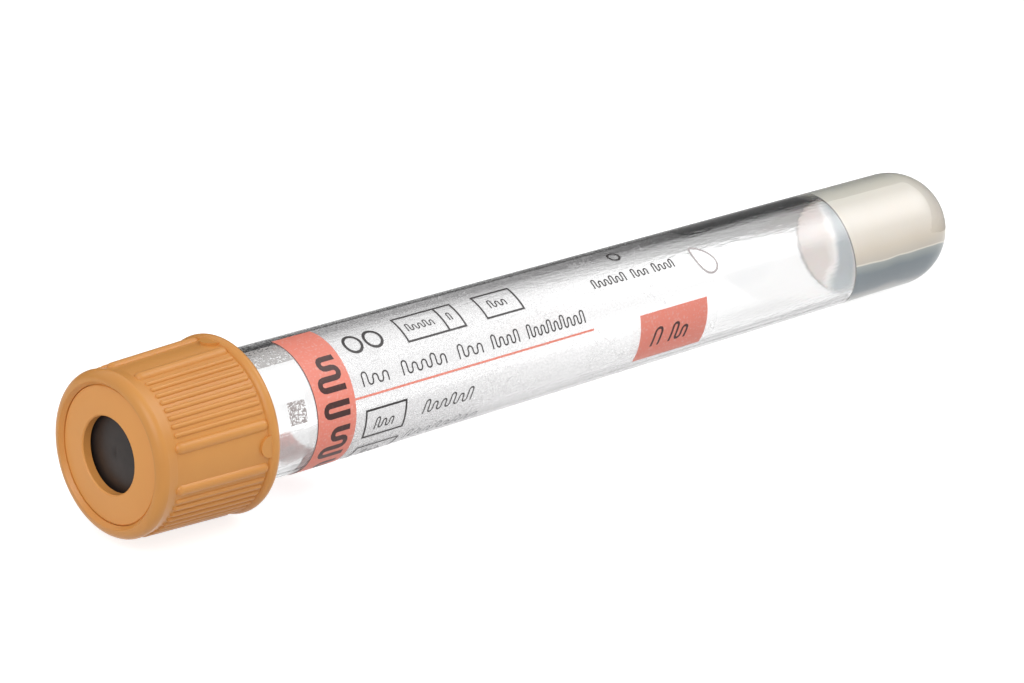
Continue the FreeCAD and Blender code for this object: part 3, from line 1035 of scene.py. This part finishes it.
@dataclass
class Label:
    """The printed clear film round the barrel, in millimetres and degrees.

    Attributes:
        barrel: the tube that it is wrapped round.
        sheet: the whole of it.
        corner: radius of its corners.
        corner_steps: facets of a corner.
        glue: thickness of the glue under it.
        film: thickness of the film.
        ink: thickness of a layer of ink.
        facet: degrees between the bends of what is wrapped round the barrel.
    """

    barrel: Barrel
    sheet: Box = Box(20.02, 71.92, -4.0, 215.0)
    corner: float = 1.2
    corner_steps: int = 6
    glue: float = 0.02
    film: float = 0.05
    ink: float = 0.008
    facet: float = 3.0

    @property
    def girth(self) -> float:
        """Millimetres round the barrel for each degree, at the label's middle."""
        return math.radians(self.barrel.outside((self.sheet.start + self.sheet.end) / 2))

    @property
    def top(self) -> float:
        """Height of the film's face above the barrel."""
        return self.glue + self.film

    def panel(self, box: Box, corner: float = 0.0) -> bmesh.types.BMesh:
        """Draws a flat rectangle on the unrolled barrel.

        Args:
            box: its edges.
            corner: radius of its corners.

        Returns:
            The flat mesh, X along the tube and Y round it.
        """
        mesh = bmesh.new()
        bmesh.ops.create_grid(mesh, x_segments=1, y_segments=1, size=0.5)
        size = Vector((box.end - box.start, (box.high - box.low) * self.girth, 1.0)) * MM
        across = (box.low + box.high) / 2 * self.girth
        middle = Vector(((box.start + box.end) / 2, across, 0.0)) * MM
        bmesh.ops.scale(mesh, vec=size, verts=mesh.verts)
        bmesh.ops.translate(mesh, vec=middle, verts=mesh.verts)
        if corner:
            bmesh.ops.bevel(mesh, geom=mesh.verts, offset=corner * MM, offset_type="OFFSET",
                            affect="VERTICES", segments=self.corner_steps, profile=0.5,
                            material=-1)
        return mesh

    def frame(self, box: Box, width: float) -> bmesh.types.BMesh:
        """Draws the outline of a rectangle.

        Args:
            box: its outer edges.
            width: width of the line.

        Returns:
            The flat mesh.
        """
        mesh = self.panel(box)
        bmesh.ops.inset_region(mesh, faces=mesh.faces, thickness=width * MM, use_boundary=True,
                               use_even_offset=True)
        inner = max(mesh.faces, key=lambda face: face.calc_area())
        bmesh.ops.delete(mesh, geom=[inner], context="FACES")
        return mesh

    def bend(self, mesh: bmesh.types.BMesh) -> None:
        """Cuts a flat shape across at every facet that the barrel gives it.

        Args:
            mesh: the flat mesh.
        """
        reach = [vert.co.y / (self.girth * MM) for vert in mesh.verts]
        turn = math.ceil(min(reach) / self.facet) * self.facet
        while turn < max(reach):
            bmesh.ops.bisect_plane(mesh, geom=[*mesh.verts, *mesh.edges, *mesh.faces],
                                   dist=ON_PLANE, plane_co=(0.0, turn * self.girth * MM, 0.0),
                                   plane_no=Y_AXIS)
            turn += self.facet

    def wrap(self, mesh: bmesh.types.BMesh, lift: float, depth: float) -> bmesh.types.BMesh:
        """Gives a flat shape a thickness and wraps it round the barrel.

        The wrap turns a mesh inside out, so the flat faces look down before it.

        Args:
            mesh: the flat mesh, which is changed.
            lift: its lower face above the barrel.
            depth: its thickness.

        Returns:
            The same mesh, in the tube's own frame.
        """
        self.bend(mesh)
        mesh.normal_update()
        upward = [face for face in mesh.faces if face.normal.z > 0.0]
        bmesh.ops.reverse_faces(mesh, faces=upward)
        made = bmesh.ops.extrude_face_region(mesh, geom=list(mesh.faces), use_keep_orig=True)
        top = [item for item in made["geom"] if isinstance(item, bmesh.types.BMVert)]
        bmesh.ops.translate(mesh, vec=(0.0, 0.0, depth * MM), verts=top)
        for vert in mesh.verts:
            place, turn = vert.co.x, math.radians(vert.co.y / (self.girth * MM))
            radius = (self.barrel.outside(place / MM) + lift) * MM + vert.co.z
            vert.co = Vector((radius * math.cos(turn), radius * math.sin(turn), place))
        mesh.normal_update()
        return mesh

    def lay(self, name: str, mesh: bmesh.types.BMesh, finishes: list[Finish], lift: float,
            depth: float) -> bpy.types.Object:
        """Makes a piece of a flat shape that is wrapped round the barrel.

        Args:
            name: the piece's name.
            mesh: the flat mesh.
            finishes: one finish for each material index.
            lift: its lower face above the barrel.
            depth: its thickness.

        Returns:
            The piece.
        """
        return finish_piece(name, self.wrap(mesh, lift, depth), finishes, self.barrel.lie, "tube")

    def build(self, finish: Finish) -> None:
        """Makes the film in place of the frame's label.

        Args:
            finish: its finish.
        """
        sheet = self.panel(self.sheet, self.corner)
        piece = self.lay("label_film", sheet, [finish], self.glue, self.film)
        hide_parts("label")

    def printed(self, name: str, mesh: bmesh.types.BMesh, finish: Finish, layer: int = 0) -> None:
        """Prints a flat shape on the film.

        Args:
            name: the piece's name.
            mesh: the flat mesh.
            finish: its ink.
            layer: how many layers of ink lie under it.
        """
        self.lay(name, mesh, [finish], self.top + self.ink * layer, self.ink)


class Pen:
    """A pen of one width that draws on the unrolled barrel.

    X runs along the tube and Y round it. A heading is read as on a page with the cap at its left:
    0 degrees runs towards the round end, and 90 degrees runs up.
    """

    # Heights of the waves of a word, as shares of the first one's.
    RHYTHM = (1.0, 0.72, 0.72, 0.95, 0.72)
    ARC_STEPS = 6
    RING_STEPS = 36
    FULL_TURN = 360.0

    def __init__(self, label: Label, width: float) -> None:
        """Takes up a clean pen.

        Args:
            label: the label that it draws on.
            width: width of its line in millimetres.
        """
        self.label = label
        self.width = width
        self.mesh = bmesh.new()
        self.tip = Vector()
        self.heading = 0.0
        self.nib: bmesh.types.BMEdge | None = None

    def way(self, left: float = 0.0) -> Vector:
        """The unit vector of the heading, turned to the left by some degrees."""
        angle = math.radians(self.heading + left)
        return Vector((math.cos(angle), -math.sin(angle), 0.0))

    def start(self, place: float, turn: float, heading: float) -> Pen:
        """Sets the pen down.

        Args:
            place: where along the tube, in millimetres.
            turn: where round it, in degrees.
            heading: which way the pen will go, in degrees.

        Returns:
            The same pen, so that calls can be chained.
        """
        self.tip = Vector((place, turn * self.label.girth, 0.0)) * MM
        self.heading = heading
        half = self.way(90.0) * self.width / 2 * MM
        ends = [self.mesh.verts.new(self.tip + side) for side in (half, -half)]
        self.nib = self.mesh.edges.new(ends)
        return self

    def go(self, length: float) -> Pen:
        """Draws a straight stroke.

        Args:
            length: its length in millimetres.

        Returns:
            The same pen.
        """
        made = bmesh.ops.extrude_edge_only(self.mesh, edges=[self.nib])["geom"]
        ends = [item for item in made if isinstance(item, bmesh.types.BMVert)]
        step = self.way() * length * MM
        bmesh.ops.translate(self.mesh, verts=ends, vec=step)
        self.tip += step
        self.nib = self.mesh.edges.get(ends)
        return self

    def turn(self, radius: float, angle: float, steps: int = ARC_STEPS) -> Pen:
        """Draws an arc.

        Args:
            radius: its radius in millimetres.
            angle: degrees that it turns to the left, or to the right if negative.
            steps: straight pieces that make it up.

        Returns:
            The same pen.
        """
        side = math.copysign(90.0, angle)
        centre = self.tip + self.way(side) * radius * MM
        made = bmesh.ops.spin(self.mesh, geom=[self.nib], cent=centre, axis=Z_AXIS,
                              angle=-math.radians(angle), steps=steps, use_duplicate=False,
                              use_merge=abs(angle) == self.FULL_TURN)
        edges = (item for item in made["geom_last"] if isinstance(item, bmesh.types.BMEdge))
        self.nib = next(edges, None)
        self.heading += angle
        self.tip = centre - self.way(side) * radius * MM
        return self

    def ring(self, place: float, turn: float, radius: float) -> Pen:
        """Draws a full circle.

        Args:
            place: place of its centre along the tube.
            turn: turn of its centre round the tube, in degrees.
            radius: its radius in millimetres.

        Returns:
            The same pen.
        """
        self.start(place, turn + radius / self.label.girth, 0.0)
        return self.turn(radius, self.FULL_TURN, self.RING_STEPS)

    def word(self, place: float, turn: float, waves: int, height: float, pitch: float,
             heading: float = 0.0) -> Pen:
        """Scribbles a wave that looks like a word from afar and spells nothing.

        Args:
            place: where its foot begins along the tube.
            turn: where its foot is round the tube, in degrees.
            waves: how many waves it has.
            height: how tall its first wave is, in millimetres.
            pitch: how wide each wave is.
            heading: which way it reads, in degrees.

        Returns:
            The same pen.
        """
        bend, level = pitch / 4, 0.0
        self.start(place, turn, heading + 90.0)
        for number in range(waves):
            crest = height * self.RHYTHM[number % len(self.RHYTHM)] - self.width / 2 - bend
            foot = 0.0 if number == waves - 1 else self.width / 2 + bend
            self.go(crest - level).turn(bend, -180.0).go(crest - foot)
            if foot:
                self.turn(bend, 180.0)
            level = foot
        return self

    def lean(self, share: float) -> Pen:
        """Slants all that is drawn so far.

        Args:
            share: how far the top moves along, as a share of the height.

        Returns:
            The same pen.
        """
        foot = max(vert.co.y for vert in self.mesh.verts)
        slant = Matrix.Identity(4)
        slant[0][1], slant[0][3] = -share, share * foot
        bmesh.ops.transform(self.mesh, matrix=slant, verts=self.mesh.verts)
        return self


@dataclass(frozen=True)
class Scribble:
    """A line of made-up words on the label, in millimetres and degrees.

    Attributes:
        name: the piece's name.
        turn: where its foot is round the tube.
        height: how tall it is.
        width: width of its strokes.
        words: for each word, where it starts along the tube, its waves and the width of one.
        lean: how far it slants, as a share of its height.
        layer: how many layers of ink lie under it.
    """

    name: str
    turn: float
    height: float
    width: float
    words: tuple[tuple[float, int, float], ...]
    lean: float = 0.0
    layer: int = 0

    def print_on(self, label: Label, ink: Finish) -> None:
        """Draws it flat and prints it.

        Args:
            label: the label that it is for.
            ink: its ink.
        """
        pen = Pen(label, self.width)
        for place, waves, pitch in self.words:
            pen.word(place, self.turn, waves, self.height, pitch)
        label.printed(self.name, pen.lean(self.lean).mesh, ink, self.layer)


@dataclass
class Print:
    """The print on the label: colour fields, outlined boxes, rules, rings and scribbles.

    Attributes:
        label: the film that carries it.
        red: the red ink.
        dark: the dark ink.
        bold: the dark ink on the red fields.
        faint: the ink of the stamped line.
        outline: width of the boxes' lines, in millimetres.
    """

    label: Label
    red: Finish
    dark: Finish
    bold: Finish
    faint: Finish
    outline: float = 0.21

    BAND_EDGE = Box(20.04, 20.13, -4.0, 215.0)
    FIELDS = (("red_band", Box(20.13, 24.82, -4.0, 215.0)),
              ("red_rule", Box(24.82, 55.42, 75.0, 76.9)),
              ("red_field", Box(61.52, 70.52, 76.0, 125.0)))
    BOXES = (Box(33.12, 40.62, 13.0, 42.0), Box(43.22, 48.12, 13.0, 41.0),
             Box(26.02, 31.22, 88.0, 116.0), Box(26.12, 31.42, 128.0, 156.0))
    # The rule that divides the first box: place and turn of its foot, and the degrees it spans.
    DIVIDER_FOOT = (38.42, 40.5)
    DIVIDER_SPAN = 26.0
    DARK_LINES = (
        Scribble("headline", 68.0, 1.41, 0.15,
                 ((26.2, 3, 1.25), (31.2, 5, 1.2), (38.3, 3, 1.18), (42.6, 4, 0.96),
                  (47.2, 9, 0.86))),
        Scribble("box_note_1", 31.5, 0.95, 0.13, ((34.0, 5, 0.72), (39.2, 1, 0.7))),
        Scribble("box_note_2", 31.5, 1.05, 0.15, ((44.5, 3, 0.8),)),
        Scribble("box_note_3", 108.5, 1.25, 0.14, ((27.3, 3, 0.9),), 0.2),
        Scribble("box_note_4", 148.0, 1.25, 0.14, ((27.4, 3, 0.9),), 0.2),
        Scribble("number_line", 108.0, 1.45, 0.15, ((33.4, 6, 1.1),), 0.25),
        Scribble("side_line", 41.0, 1.1, 0.16, ((57.3, 6, 0.76), (62.5, 3, 0.76), (65.3, 4, 0.74))))
    STAMPED = Scribble("stamped_line", 137.0, 1.4, 0.13, ((32.3, 8, 1.2),), 0.25)
    FIELD_NOTE = Scribble("field_note", 110.0, 2.05, 0.27, ((63.2, 1, 1.8), (65.6, 2, 1.35)), 0.25,
                          layer=1)
    # The bold scribbles on the red band, and for each of them its turn and its waves.
    MARK_FOOT = 24.1
    MARK_HEIGHT = 3.2
    MARK_PITCH = 1.98
    MARK_WIDTH = 0.56
    MARKS = ((206.0, 2), (165.5, 2), (125.0, 2), (84.5, 1), (62.5, 2))
    # Pieces made of rings: the width of the line, and place, turn and radius of each ring.
    RINGS = (("plain_rings", 0.3, ((27.15, 28.5, 0.95), (29.65, 28.5, 0.95))),
             ("plain_spot", 0.24, ((62.3, 10.5, 0.62),)))

    def build(self) -> None:
        """Prints everything."""
        label = self.label
        label.printed("band_edge", label.panel(self.BAND_EDGE), self.bold)
        for name, box in self.FIELDS:
            label.printed(name, label.panel(box), self.red)
        for number, box in enumerate(self.BOXES, start=1):
            label.printed(f"box_{number}", label.frame(box, self.outline), self.dark)
        divider = Pen(label, self.outline).start(*self.DIVIDER_FOOT, 90.0)
        divider.go(self.DIVIDER_SPAN * label.girth)
        label.printed("box_divider", divider.mesh, self.dark)
        for line in self.DARK_LINES:
            line.print_on(label, self.dark)
        self.STAMPED.print_on(label, self.faint)
        self.FIELD_NOTE.print_on(label, self.bold)
        self.mark_band()
        for name, width, rings in self.RINGS:
            pen = Pen(label, width)
            for ring in rings:
                pen.ring(*ring)
            label.printed(name, pen.mesh, self.dark)

    def mark_band(self) -> None:
        """Scribbles boldly round the red band."""
        pen = Pen(self.label, self.MARK_WIDTH)
        for turn, waves in self.MARKS:
            pen.word(self.MARK_FOOT, turn, waves, self.MARK_HEIGHT, self.MARK_PITCH, heading=90.0)
        self.label.printed("band_marks", pen.mesh, self.bold, 1)


@dataclass
class Traces:
    """What handling left on the tube: a drop of glue, and a smudge and frost on the neck.

    Attributes:
        label: the label beside them.
        drop: size of the drop along the tube and round it, in millimetres.
        drop_middle: place and turn of its middle, which is on the label's end.
        drop_taper: how much narrower it is at one end, as a share of its half.
        drop_turn: how far it is turned on the tube, in degrees.
        drop_depth: its thickness in millimetres.
        drop_rim: width of its raised edge.
        drop_facets: facets round it.
        film_gap: its lower face above the film.
        smudge: the smudge on the neck.
        frost: the frosted patch on top of the neck.
        patch_corner: radius of the patches' corners.
        patch_depth: thickness of the patches.
    """

    label: Label
    drop: tuple[float, float] = (2.2, 3.7)
    drop_middle: tuple[float, float] = (71.7, 41.0)
    drop_taper: float = 0.3
    drop_turn: float = -28.0
    drop_depth: float = 0.03
    drop_rim: float = 0.22
    drop_facets: int = 40
    film_gap: float = 0.002
    smudge: Box = Box(16.8, 18.9, 63.0, 83.0)
    frost: Box = Box(14.2, 20.0, 2.0, 27.0)
    patch_corner: float = 0.15
    patch_depth: float = 0.01

    def build(self, clear: Finish, edge: Finish, specks: Finish, frost: Finish) -> None:
        """Makes them all.

        Args:
            clear: finish of the drop.
            edge: finish of the drop's edge.
            specks: finish of the smudge.
            frost: finish of the frosted patch.
        """
        self.make_drop(clear, edge)
        patches = (("neck_smudge", self.smudge, specks), ("neck_frost", self.frost, frost))
        for name, box, finish in patches:
            panel = self.label.panel(box, self.patch_corner)
            self.label.lay(name, panel, [finish], 0.0, self.patch_depth)

    def make_drop(self, finish: Finish, edge: Finish) -> None:
        """Flattens a disc to a drop with a raised edge and lays it over the label's end.

        Args:
            finish: finish of the drop.
            edge: finish of its edge.
        """
        label = self.label
        mesh = bmesh.new()
        bmesh.ops.create_circle(mesh, cap_ends=True, segments=self.drop_facets, radius=0.5 * MM)
        bmesh.ops.scale(mesh, vec=(*self.drop, 1.0), verts=mesh.verts)
        for vert in mesh.verts:
            vert.co.x *= 1.0 + self.drop_taper * vert.co.y / (self.drop[1] / 2 * MM)
        turn = Matrix.Rotation(math.radians(self.drop_turn), 3, "Z")
        bmesh.ops.rotate(mesh, matrix=turn, verts=mesh.verts)
        place, side = self.drop_middle
        middle = Vector((place, side * label.girth, 0.0)) * MM
        bmesh.ops.translate(mesh, vec=middle, verts=mesh.verts)
        rim = bmesh.ops.inset_region(mesh, faces=mesh.faces, thickness=self.drop_rim * MM,
                                     use_boundary=True, use_even_offset=True)
        for face in rim["faces"]:
            face.material_index = Coat.PART.value
        label.lay("glue_drop", mesh, [finish, edge], label.top + self.film_gap, self.drop_depth)


# ---------------------------------------------------------------- the closure


@dataclass(frozen=True)
class Closure:
    """The cap's shell and ring and the stopper, which keep the frame's own meshes.

    Attributes:
        nodes: the frame's nodes by their names.
    """

    nodes: dict[str, bpy.types.Object]

    def dress(self, finishes: dict[str, Finish]) -> None:
        """Gives nodes of the frame their finishes.

        Args:
            finishes: the finish of each node, by its name.
        """
        for name, finish in finishes.items():
            for slot in self.nodes[name].material_slots:
                slot.material = finish.material()
            LOG.info("%s: dressed as %s", name, finish.name)


# ---------------------------------------------------------------- the studio


@dataclass
class Studio:
    """Floor, light and camera, in metres where nothing else is said.

    Attributes:
        lie: how the tube lies.
        aim: place on the axis that the camera is set up from, in millimetres.
        azimuth: degrees round the object from the front, positive to the right.
        elevation: degrees above the floor.
        distance: how far the camera is from the aim.
        right: how far the camera is moved to its own right.
        rise: how far the camera is moved up in its own view.
        lens: focal length in millimetres on the default sensor.
        fill: strength of the surround's light on plain surfaces.
        lamp_power: watts of the lamp at the cap's side and of the one at the round end's.
        lamp_core: how much brighter a lamp's middle is than the whole of it.
        lamp_size: how wide each lamp is.
        floor_half: how far the floor goes from its middle.
        floor_base: the floor's own grey.
        floor_glow: what the floor adds to its own colour for the camera.
        room_near: how far behind the middle, as the camera looks, the dim ground begins.
        room_slant: how far that edge draws back towards the cap, as a share of the way.
        room_half: how far from the middle it still does so.
        room_far: how far behind the middle the dark wall stands.
        room_top: how high the wall is.
        lift: height of the cards that lie on the floor.
    """

    lie: Lie
    aim: float = 53.92
    azimuth: float = -42.0527
    elevation: float = 21.4961
    distance: float = 0.6608156
    right: float = -0.002736
    rise: float = -0.0010682
    lens: float = 239.837
    fill: float = 0.5
    lamp_power: tuple[float, float] = (2.4, 2.0)
    lamp_core: float = 3.33
    lamp_size: float = 1.0
    floor_half: float = 3.0
    floor_base: float = 0.52
    floor_glow: float = 0.80
    room_near: float = 0.059
    room_slant: float = 0.25
    room_half: float = 0.12
    room_far: float = 0.33
    room_top: float = 0.24
    lift: float = 0.0002

    LAMP_PLACES = (("key", (-0.5, -0.3, 0.5)), ("side", (0.5, -0.25, 0.55)))
    # How bright the dim room's cards are, where white is 1.
    GROUND_SHADE = 0.27
    WALL_SHADE = 0.05
    SHADOW_LINE_SHADE = 0.4
    # Corners of the painted shadow of the tube: a dim line on the floor under it, which only glass
    # and gloss show.
    SHADOW_LINE_CORNERS = ((-0.04, -0.0029), (0.04, -0.0037), (0.04, -0.0030), (-0.04, -0.0022))

    def build(self) -> None:
        """Sets up the whole studio."""
        self.set_camera()
        self.set_world()
        self.lay_floor()
        self.set_up_room()
        self.hang_lights()

    def set_camera(self) -> None:
        """Places the camera."""
        azimuth, elevation = math.radians(self.azimuth), math.radians(self.elevation)
        back = Vector((math.sin(azimuth) * math.cos(elevation),
                       -math.cos(azimuth) * math.cos(elevation), math.sin(elevation)))
        data = bpy.data.cameras.new("camera")
        data.lens = self.lens
        camera = bpy.data.objects.new("camera", data)
        bpy.context.scene.collection.objects.link(camera)
        turn = back.to_track_quat("Z", "Y")
        camera.rotation_euler = turn.to_euler()
        across = turn @ Vector((self.right, self.rise, 0.0))
        camera.location = self.lie.point(self.aim * MM) + back * self.distance + across
        bpy.context.scene.camera = camera

    def set_world(self) -> None:
        """A white surround, which lights plain surfaces less than it shows in glass."""
        world = bpy.data.worlds.new("surround")
        bpy.context.scene.world = world
        nodes = Nodes(world)
        nodes.set(Color=WHITE, Strength=1.0)
        fill = nodes.add("Background", Color=WHITE, Strength=self.fill)
        plain = nodes.add("LightPath").outputs["Is Diffuse Ray"]
        nodes.show(nodes.blend(plain, nodes.shader.outputs[0], fill.outputs[0]))

    def card(self, name: str, corners: list[Vector], material: bpy.types.Material,
             shown: bool) -> None:
        """Puts up a flat card of the stage.

        Args:
            name: the card's name.
            corners: its corners, in metres.
            material: what it is made of.
            shown: whether the camera and plain surfaces see it, or only glass and gloss do.
        """
        mesh = bmesh.new()
        mesh.faces.new([mesh.verts.new(corner) for corner in corners])
        data = bpy.data.meshes.new(name)
        mesh.to_mesh(data)
        mesh.free()
        data.materials.append(material)
        card = bpy.data.objects.new(name, data)
        bpy.context.scene.collection.objects.link(card)
        card.visible_camera = card.visible_diffuse = card.visible_shadow = shown

    def lay_floor(self) -> None:
        """The white floor: bright for the camera, white in glass and grey for plain surfaces."""
        floor = bpy.data.materials.new("floor")
        nodes = Nodes(floor)
        grey = (self.floor_base, self.floor_base, self.floor_base, 1.0)
        nodes.set(Base_Color=grey, Roughness=0.9, Specular_IOR_Level=0.0)
        plain = nodes.shader.outputs[0]
        both = nodes.add("AddShader")
        nodes.link(plain, both.inputs[0])
        nodes.link(nodes.glow(self.floor_glow), both.inputs[1])
        path = nodes.add("LightPath")
        seen = nodes.blend(path.outputs["Is Camera Ray"], nodes.glow(1.0), both.outputs[0])
        nodes.show(nodes.blend(path.outputs["Is Diffuse Ray"], seen, plain))
        half = self.floor_half
        corners = ((-half, -half), (half, -half), (half, half), (-half, half))
        self.card("floor", [Vector((*corner, 0.0)) for corner in corners], floor, True)

    def set_up_room(self) -> None:
        """The dim room behind the tube, and a dim line under it that paints the tube's shadow, which
        only glass and gloss show.
        """
        side, half, far = self.floor_half, self.room_half, self.room_far
        near, slant = self.room_near, self.room_half * self.room_slant
        ground = [(-half, near + slant), (half, near - slant), (side, near), (side, far),
                  (-side, far), (-side, near + slant)]
        wall = [(-side, far, 0.0), (side, far, 0.0), (side, far, self.room_top),
                (-side, far, self.room_top)]
        turn = Matrix.Rotation(math.radians(self.azimuth), 3, "Z")
        ground = [turn @ Vector((*corner, self.lift)) for corner in ground]
        # The dim line under the tube is a painted shadow of the tube on the floor.
        line = [Vector((*corner, self.lift)) for corner in self.SHADOW_LINE_CORNERS]
        cards = (("dim_ground", ground, self.GROUND_SHADE),
                 ("dark_wall", [turn @ Vector(corner) for corner in wall], self.WALL_SHADE),
                 ("tube_shadow_line", line, self.SHADOW_LINE_SHADE))
        for name, corners, brightness in cards:
            self.card(name, corners, self.shade(name, brightness), False)

    def shade(self, name: str, brightness: float) -> bpy.types.Material:
        """A plain grey that light doesn't change.

        Args:
            name: the material's name.
            brightness: how bright it is; 1 is white.

        Returns:
            The material.
        """
        made = bpy.data.materials.new(name)
        nodes = Nodes(made)
        nodes.show(nodes.glow(brightness))
        return made

    def soften(self, lamp: bpy.types.Light, place: Vector) -> None:
        """Lets a lamp fade from its middle to its edge, as a soft box does.

        Args:
            lamp: the lamp's data.
            place: where its middle is, in metres.
        """
        nodes = Nodes(lamp)
        away = nodes.add("VectorMath", operation="DISTANCE")
        nodes.link(nodes.add("NewGeometry").outputs["Position"], away.inputs[0])
        away.inputs[1].default_value = place
        share = nodes.fade(away.outputs["Value"], 0.0, lamp.size / 2, self.lamp_core, 0.0)
        share.node.interpolation_type = "SMOOTHSTEP"
        nodes.link(share, nodes.shader.inputs["Strength"])

    def hang_lights(self) -> None:
        """Two soft lamps, high on either side of the camera."""
        for (name, place), power in zip(self.LAMP_PLACES, self.lamp_power):
            data = bpy.data.lights.new(name, "AREA")
            data.shape = "DISK"
            data.size = self.lamp_size
            data.energy = power
            self.soften(data, Vector(place))
            lamp = bpy.data.objects.new(name, data)
            lamp.location = place
            lamp.rotation_euler = Vector(place).to_track_quat("Z", "Y").to_euler()
            bpy.context.scene.collection.objects.link(lamp)


# ---------------------------------------------------------------- putting it together

OCHRE = MouldedPlastic("satin_cap", "cap_ochre", (0.70, 0.312, 0.075), (0.665, 0.29, 0.068),
                       roughness=0.31)
RING_OCHRE = MouldedPlastic("satin_ring", "ring_ochre", (0.82, 0.365, 0.094),
                            (0.79, 0.348, 0.089), roughness=0.40)
STOPPER = Rubber("dark_rubber", "stopper_rubber", (0.024, 0.018, 0.016), (0.034, 0.026, 0.024))
OUTSIDE = ClearPlastic("clear_wall", "tube_clear", bend=1.57)
BORE = ClearPlastic("clear_bore", "tube_clear", bend=1.57, roughness=0.02, grain=0.015 * MM)
DROP = ClearPlastic("clear_drop", "tube_clear", bend=1.45, roughness=0.02)
DROP_EDGE = Ink("drop_edge", "tube_clear", (0.50, 0.45, 0.45), (0.60, 0.54, 0.54), cover=0.7)
SMUDGE = Speckle("neck_specks", "tube_clear", (0.36, 0.31, 0.30), fine=5600.0, start=0.42,
                 cover=0.65)
FROST = Speckle("neck_frosting", "tube_clear", (0.52, 0.50, 0.49), fine=5000.0, start=0.38,
                cover=0.7)
# Painted shade: a dark line round the gel's face, where it meets the wall.
GEL_SHADE_LINE = Ink("gel_edge_shade", "gel_cream", (0.20, 0.19, 0.18), (0.26, 0.25, 0.24))
# Bands of the gel from its underside to its top: bluish painted shade below, a pale painted
# highlight line at -0.42, and lit cream above.
GEL_LIGHT_AND_SHADE_BANDS = ((-1.0, (0.38, 0.38, 0.36)), (-0.93, (0.36, 0.365, 0.36)),
              (-0.86, (0.20, 0.235, 0.265)), (-0.60, (0.20, 0.24, 0.265)),
              (-0.44, (0.36, 0.385, 0.375)), (-0.42, (0.84, 0.79, 0.70)),
              (-0.40, (0.57, 0.52, 0.45)), (-0.20, (0.64, 0.575, 0.485)),
              (0.05, (0.70, 0.65, 0.58)), (0.45, (0.69, 0.65, 0.59)),
              (0.70, (0.67, 0.635, 0.57)), (0.90, (0.63, 0.615, 0.55)),
              (1.0, (0.53, 0.53, 0.49)))
RED = Ink("red_ink", "label_film", (0.98, 0.29, 0.21), (0.98, 0.44, 0.36), cover=0.80)
DARK = Ink("dark_ink", "label_film", (0.03, 0.026, 0.026), (0.06, 0.055, 0.055))
BOLD = Ink("bold_ink", "label_film", (0.05, 0.014, 0.012), (0.09, 0.028, 0.024))
FAINT = Ink("faint_ink", "label_film", (0.30, 0.30, 0.31), (0.45, 0.45, 0.46), cover=0.7)


def main() -> None:
    """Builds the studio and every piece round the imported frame."""
    logging.basicConfig(level=logging.INFO, format="%(name)s %(message)s")
    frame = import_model()
    bpy.context.scene.view_settings.view_transform = "Standard"

    lie = Lie.read(frame["joints"], Barrel.rim * MM)
    Studio(lie).build()
    barrel = Barrel(lie)
    barrel.build(OUTSIDE, BORE)
    # The gel's bands carry painted light and shade: lit cream above and bluish painted shade below.
    gel = MilkyGel("milky_gel", "gel_cream", lie, GEL_LIGHT_AND_SHADE_BANDS)
    # The face's near colour is painted shade, and its pale colour is a painted highlight.
    face = GelFace("gel_face", "gel_cream", lie, far=(0.66, 0.60, 0.57), near=(0.41, 0.44, 0.46),
                   pale=(0.84, 0.82, 0.80))
    GelPlug(barrel).build(gel, face, GEL_SHADE_LINE)
    label = Label(barrel)
    label.build(Film("clear_film", "label_film", lie, haze=0.27, clear_end=0.035))
    Print(label, RED, DARK, BOLD, FAINT).build()
    Traces(label).build(DROP, DROP_EDGE, SMUDGE, FROST)
    closure = Closure(frame["nodes"])
    closure.dress({"cap_shell": OCHRE, "cap_ring": RING_OCHRE, "stopper": STOPPER})


if __name__ == "__main__":
    main()
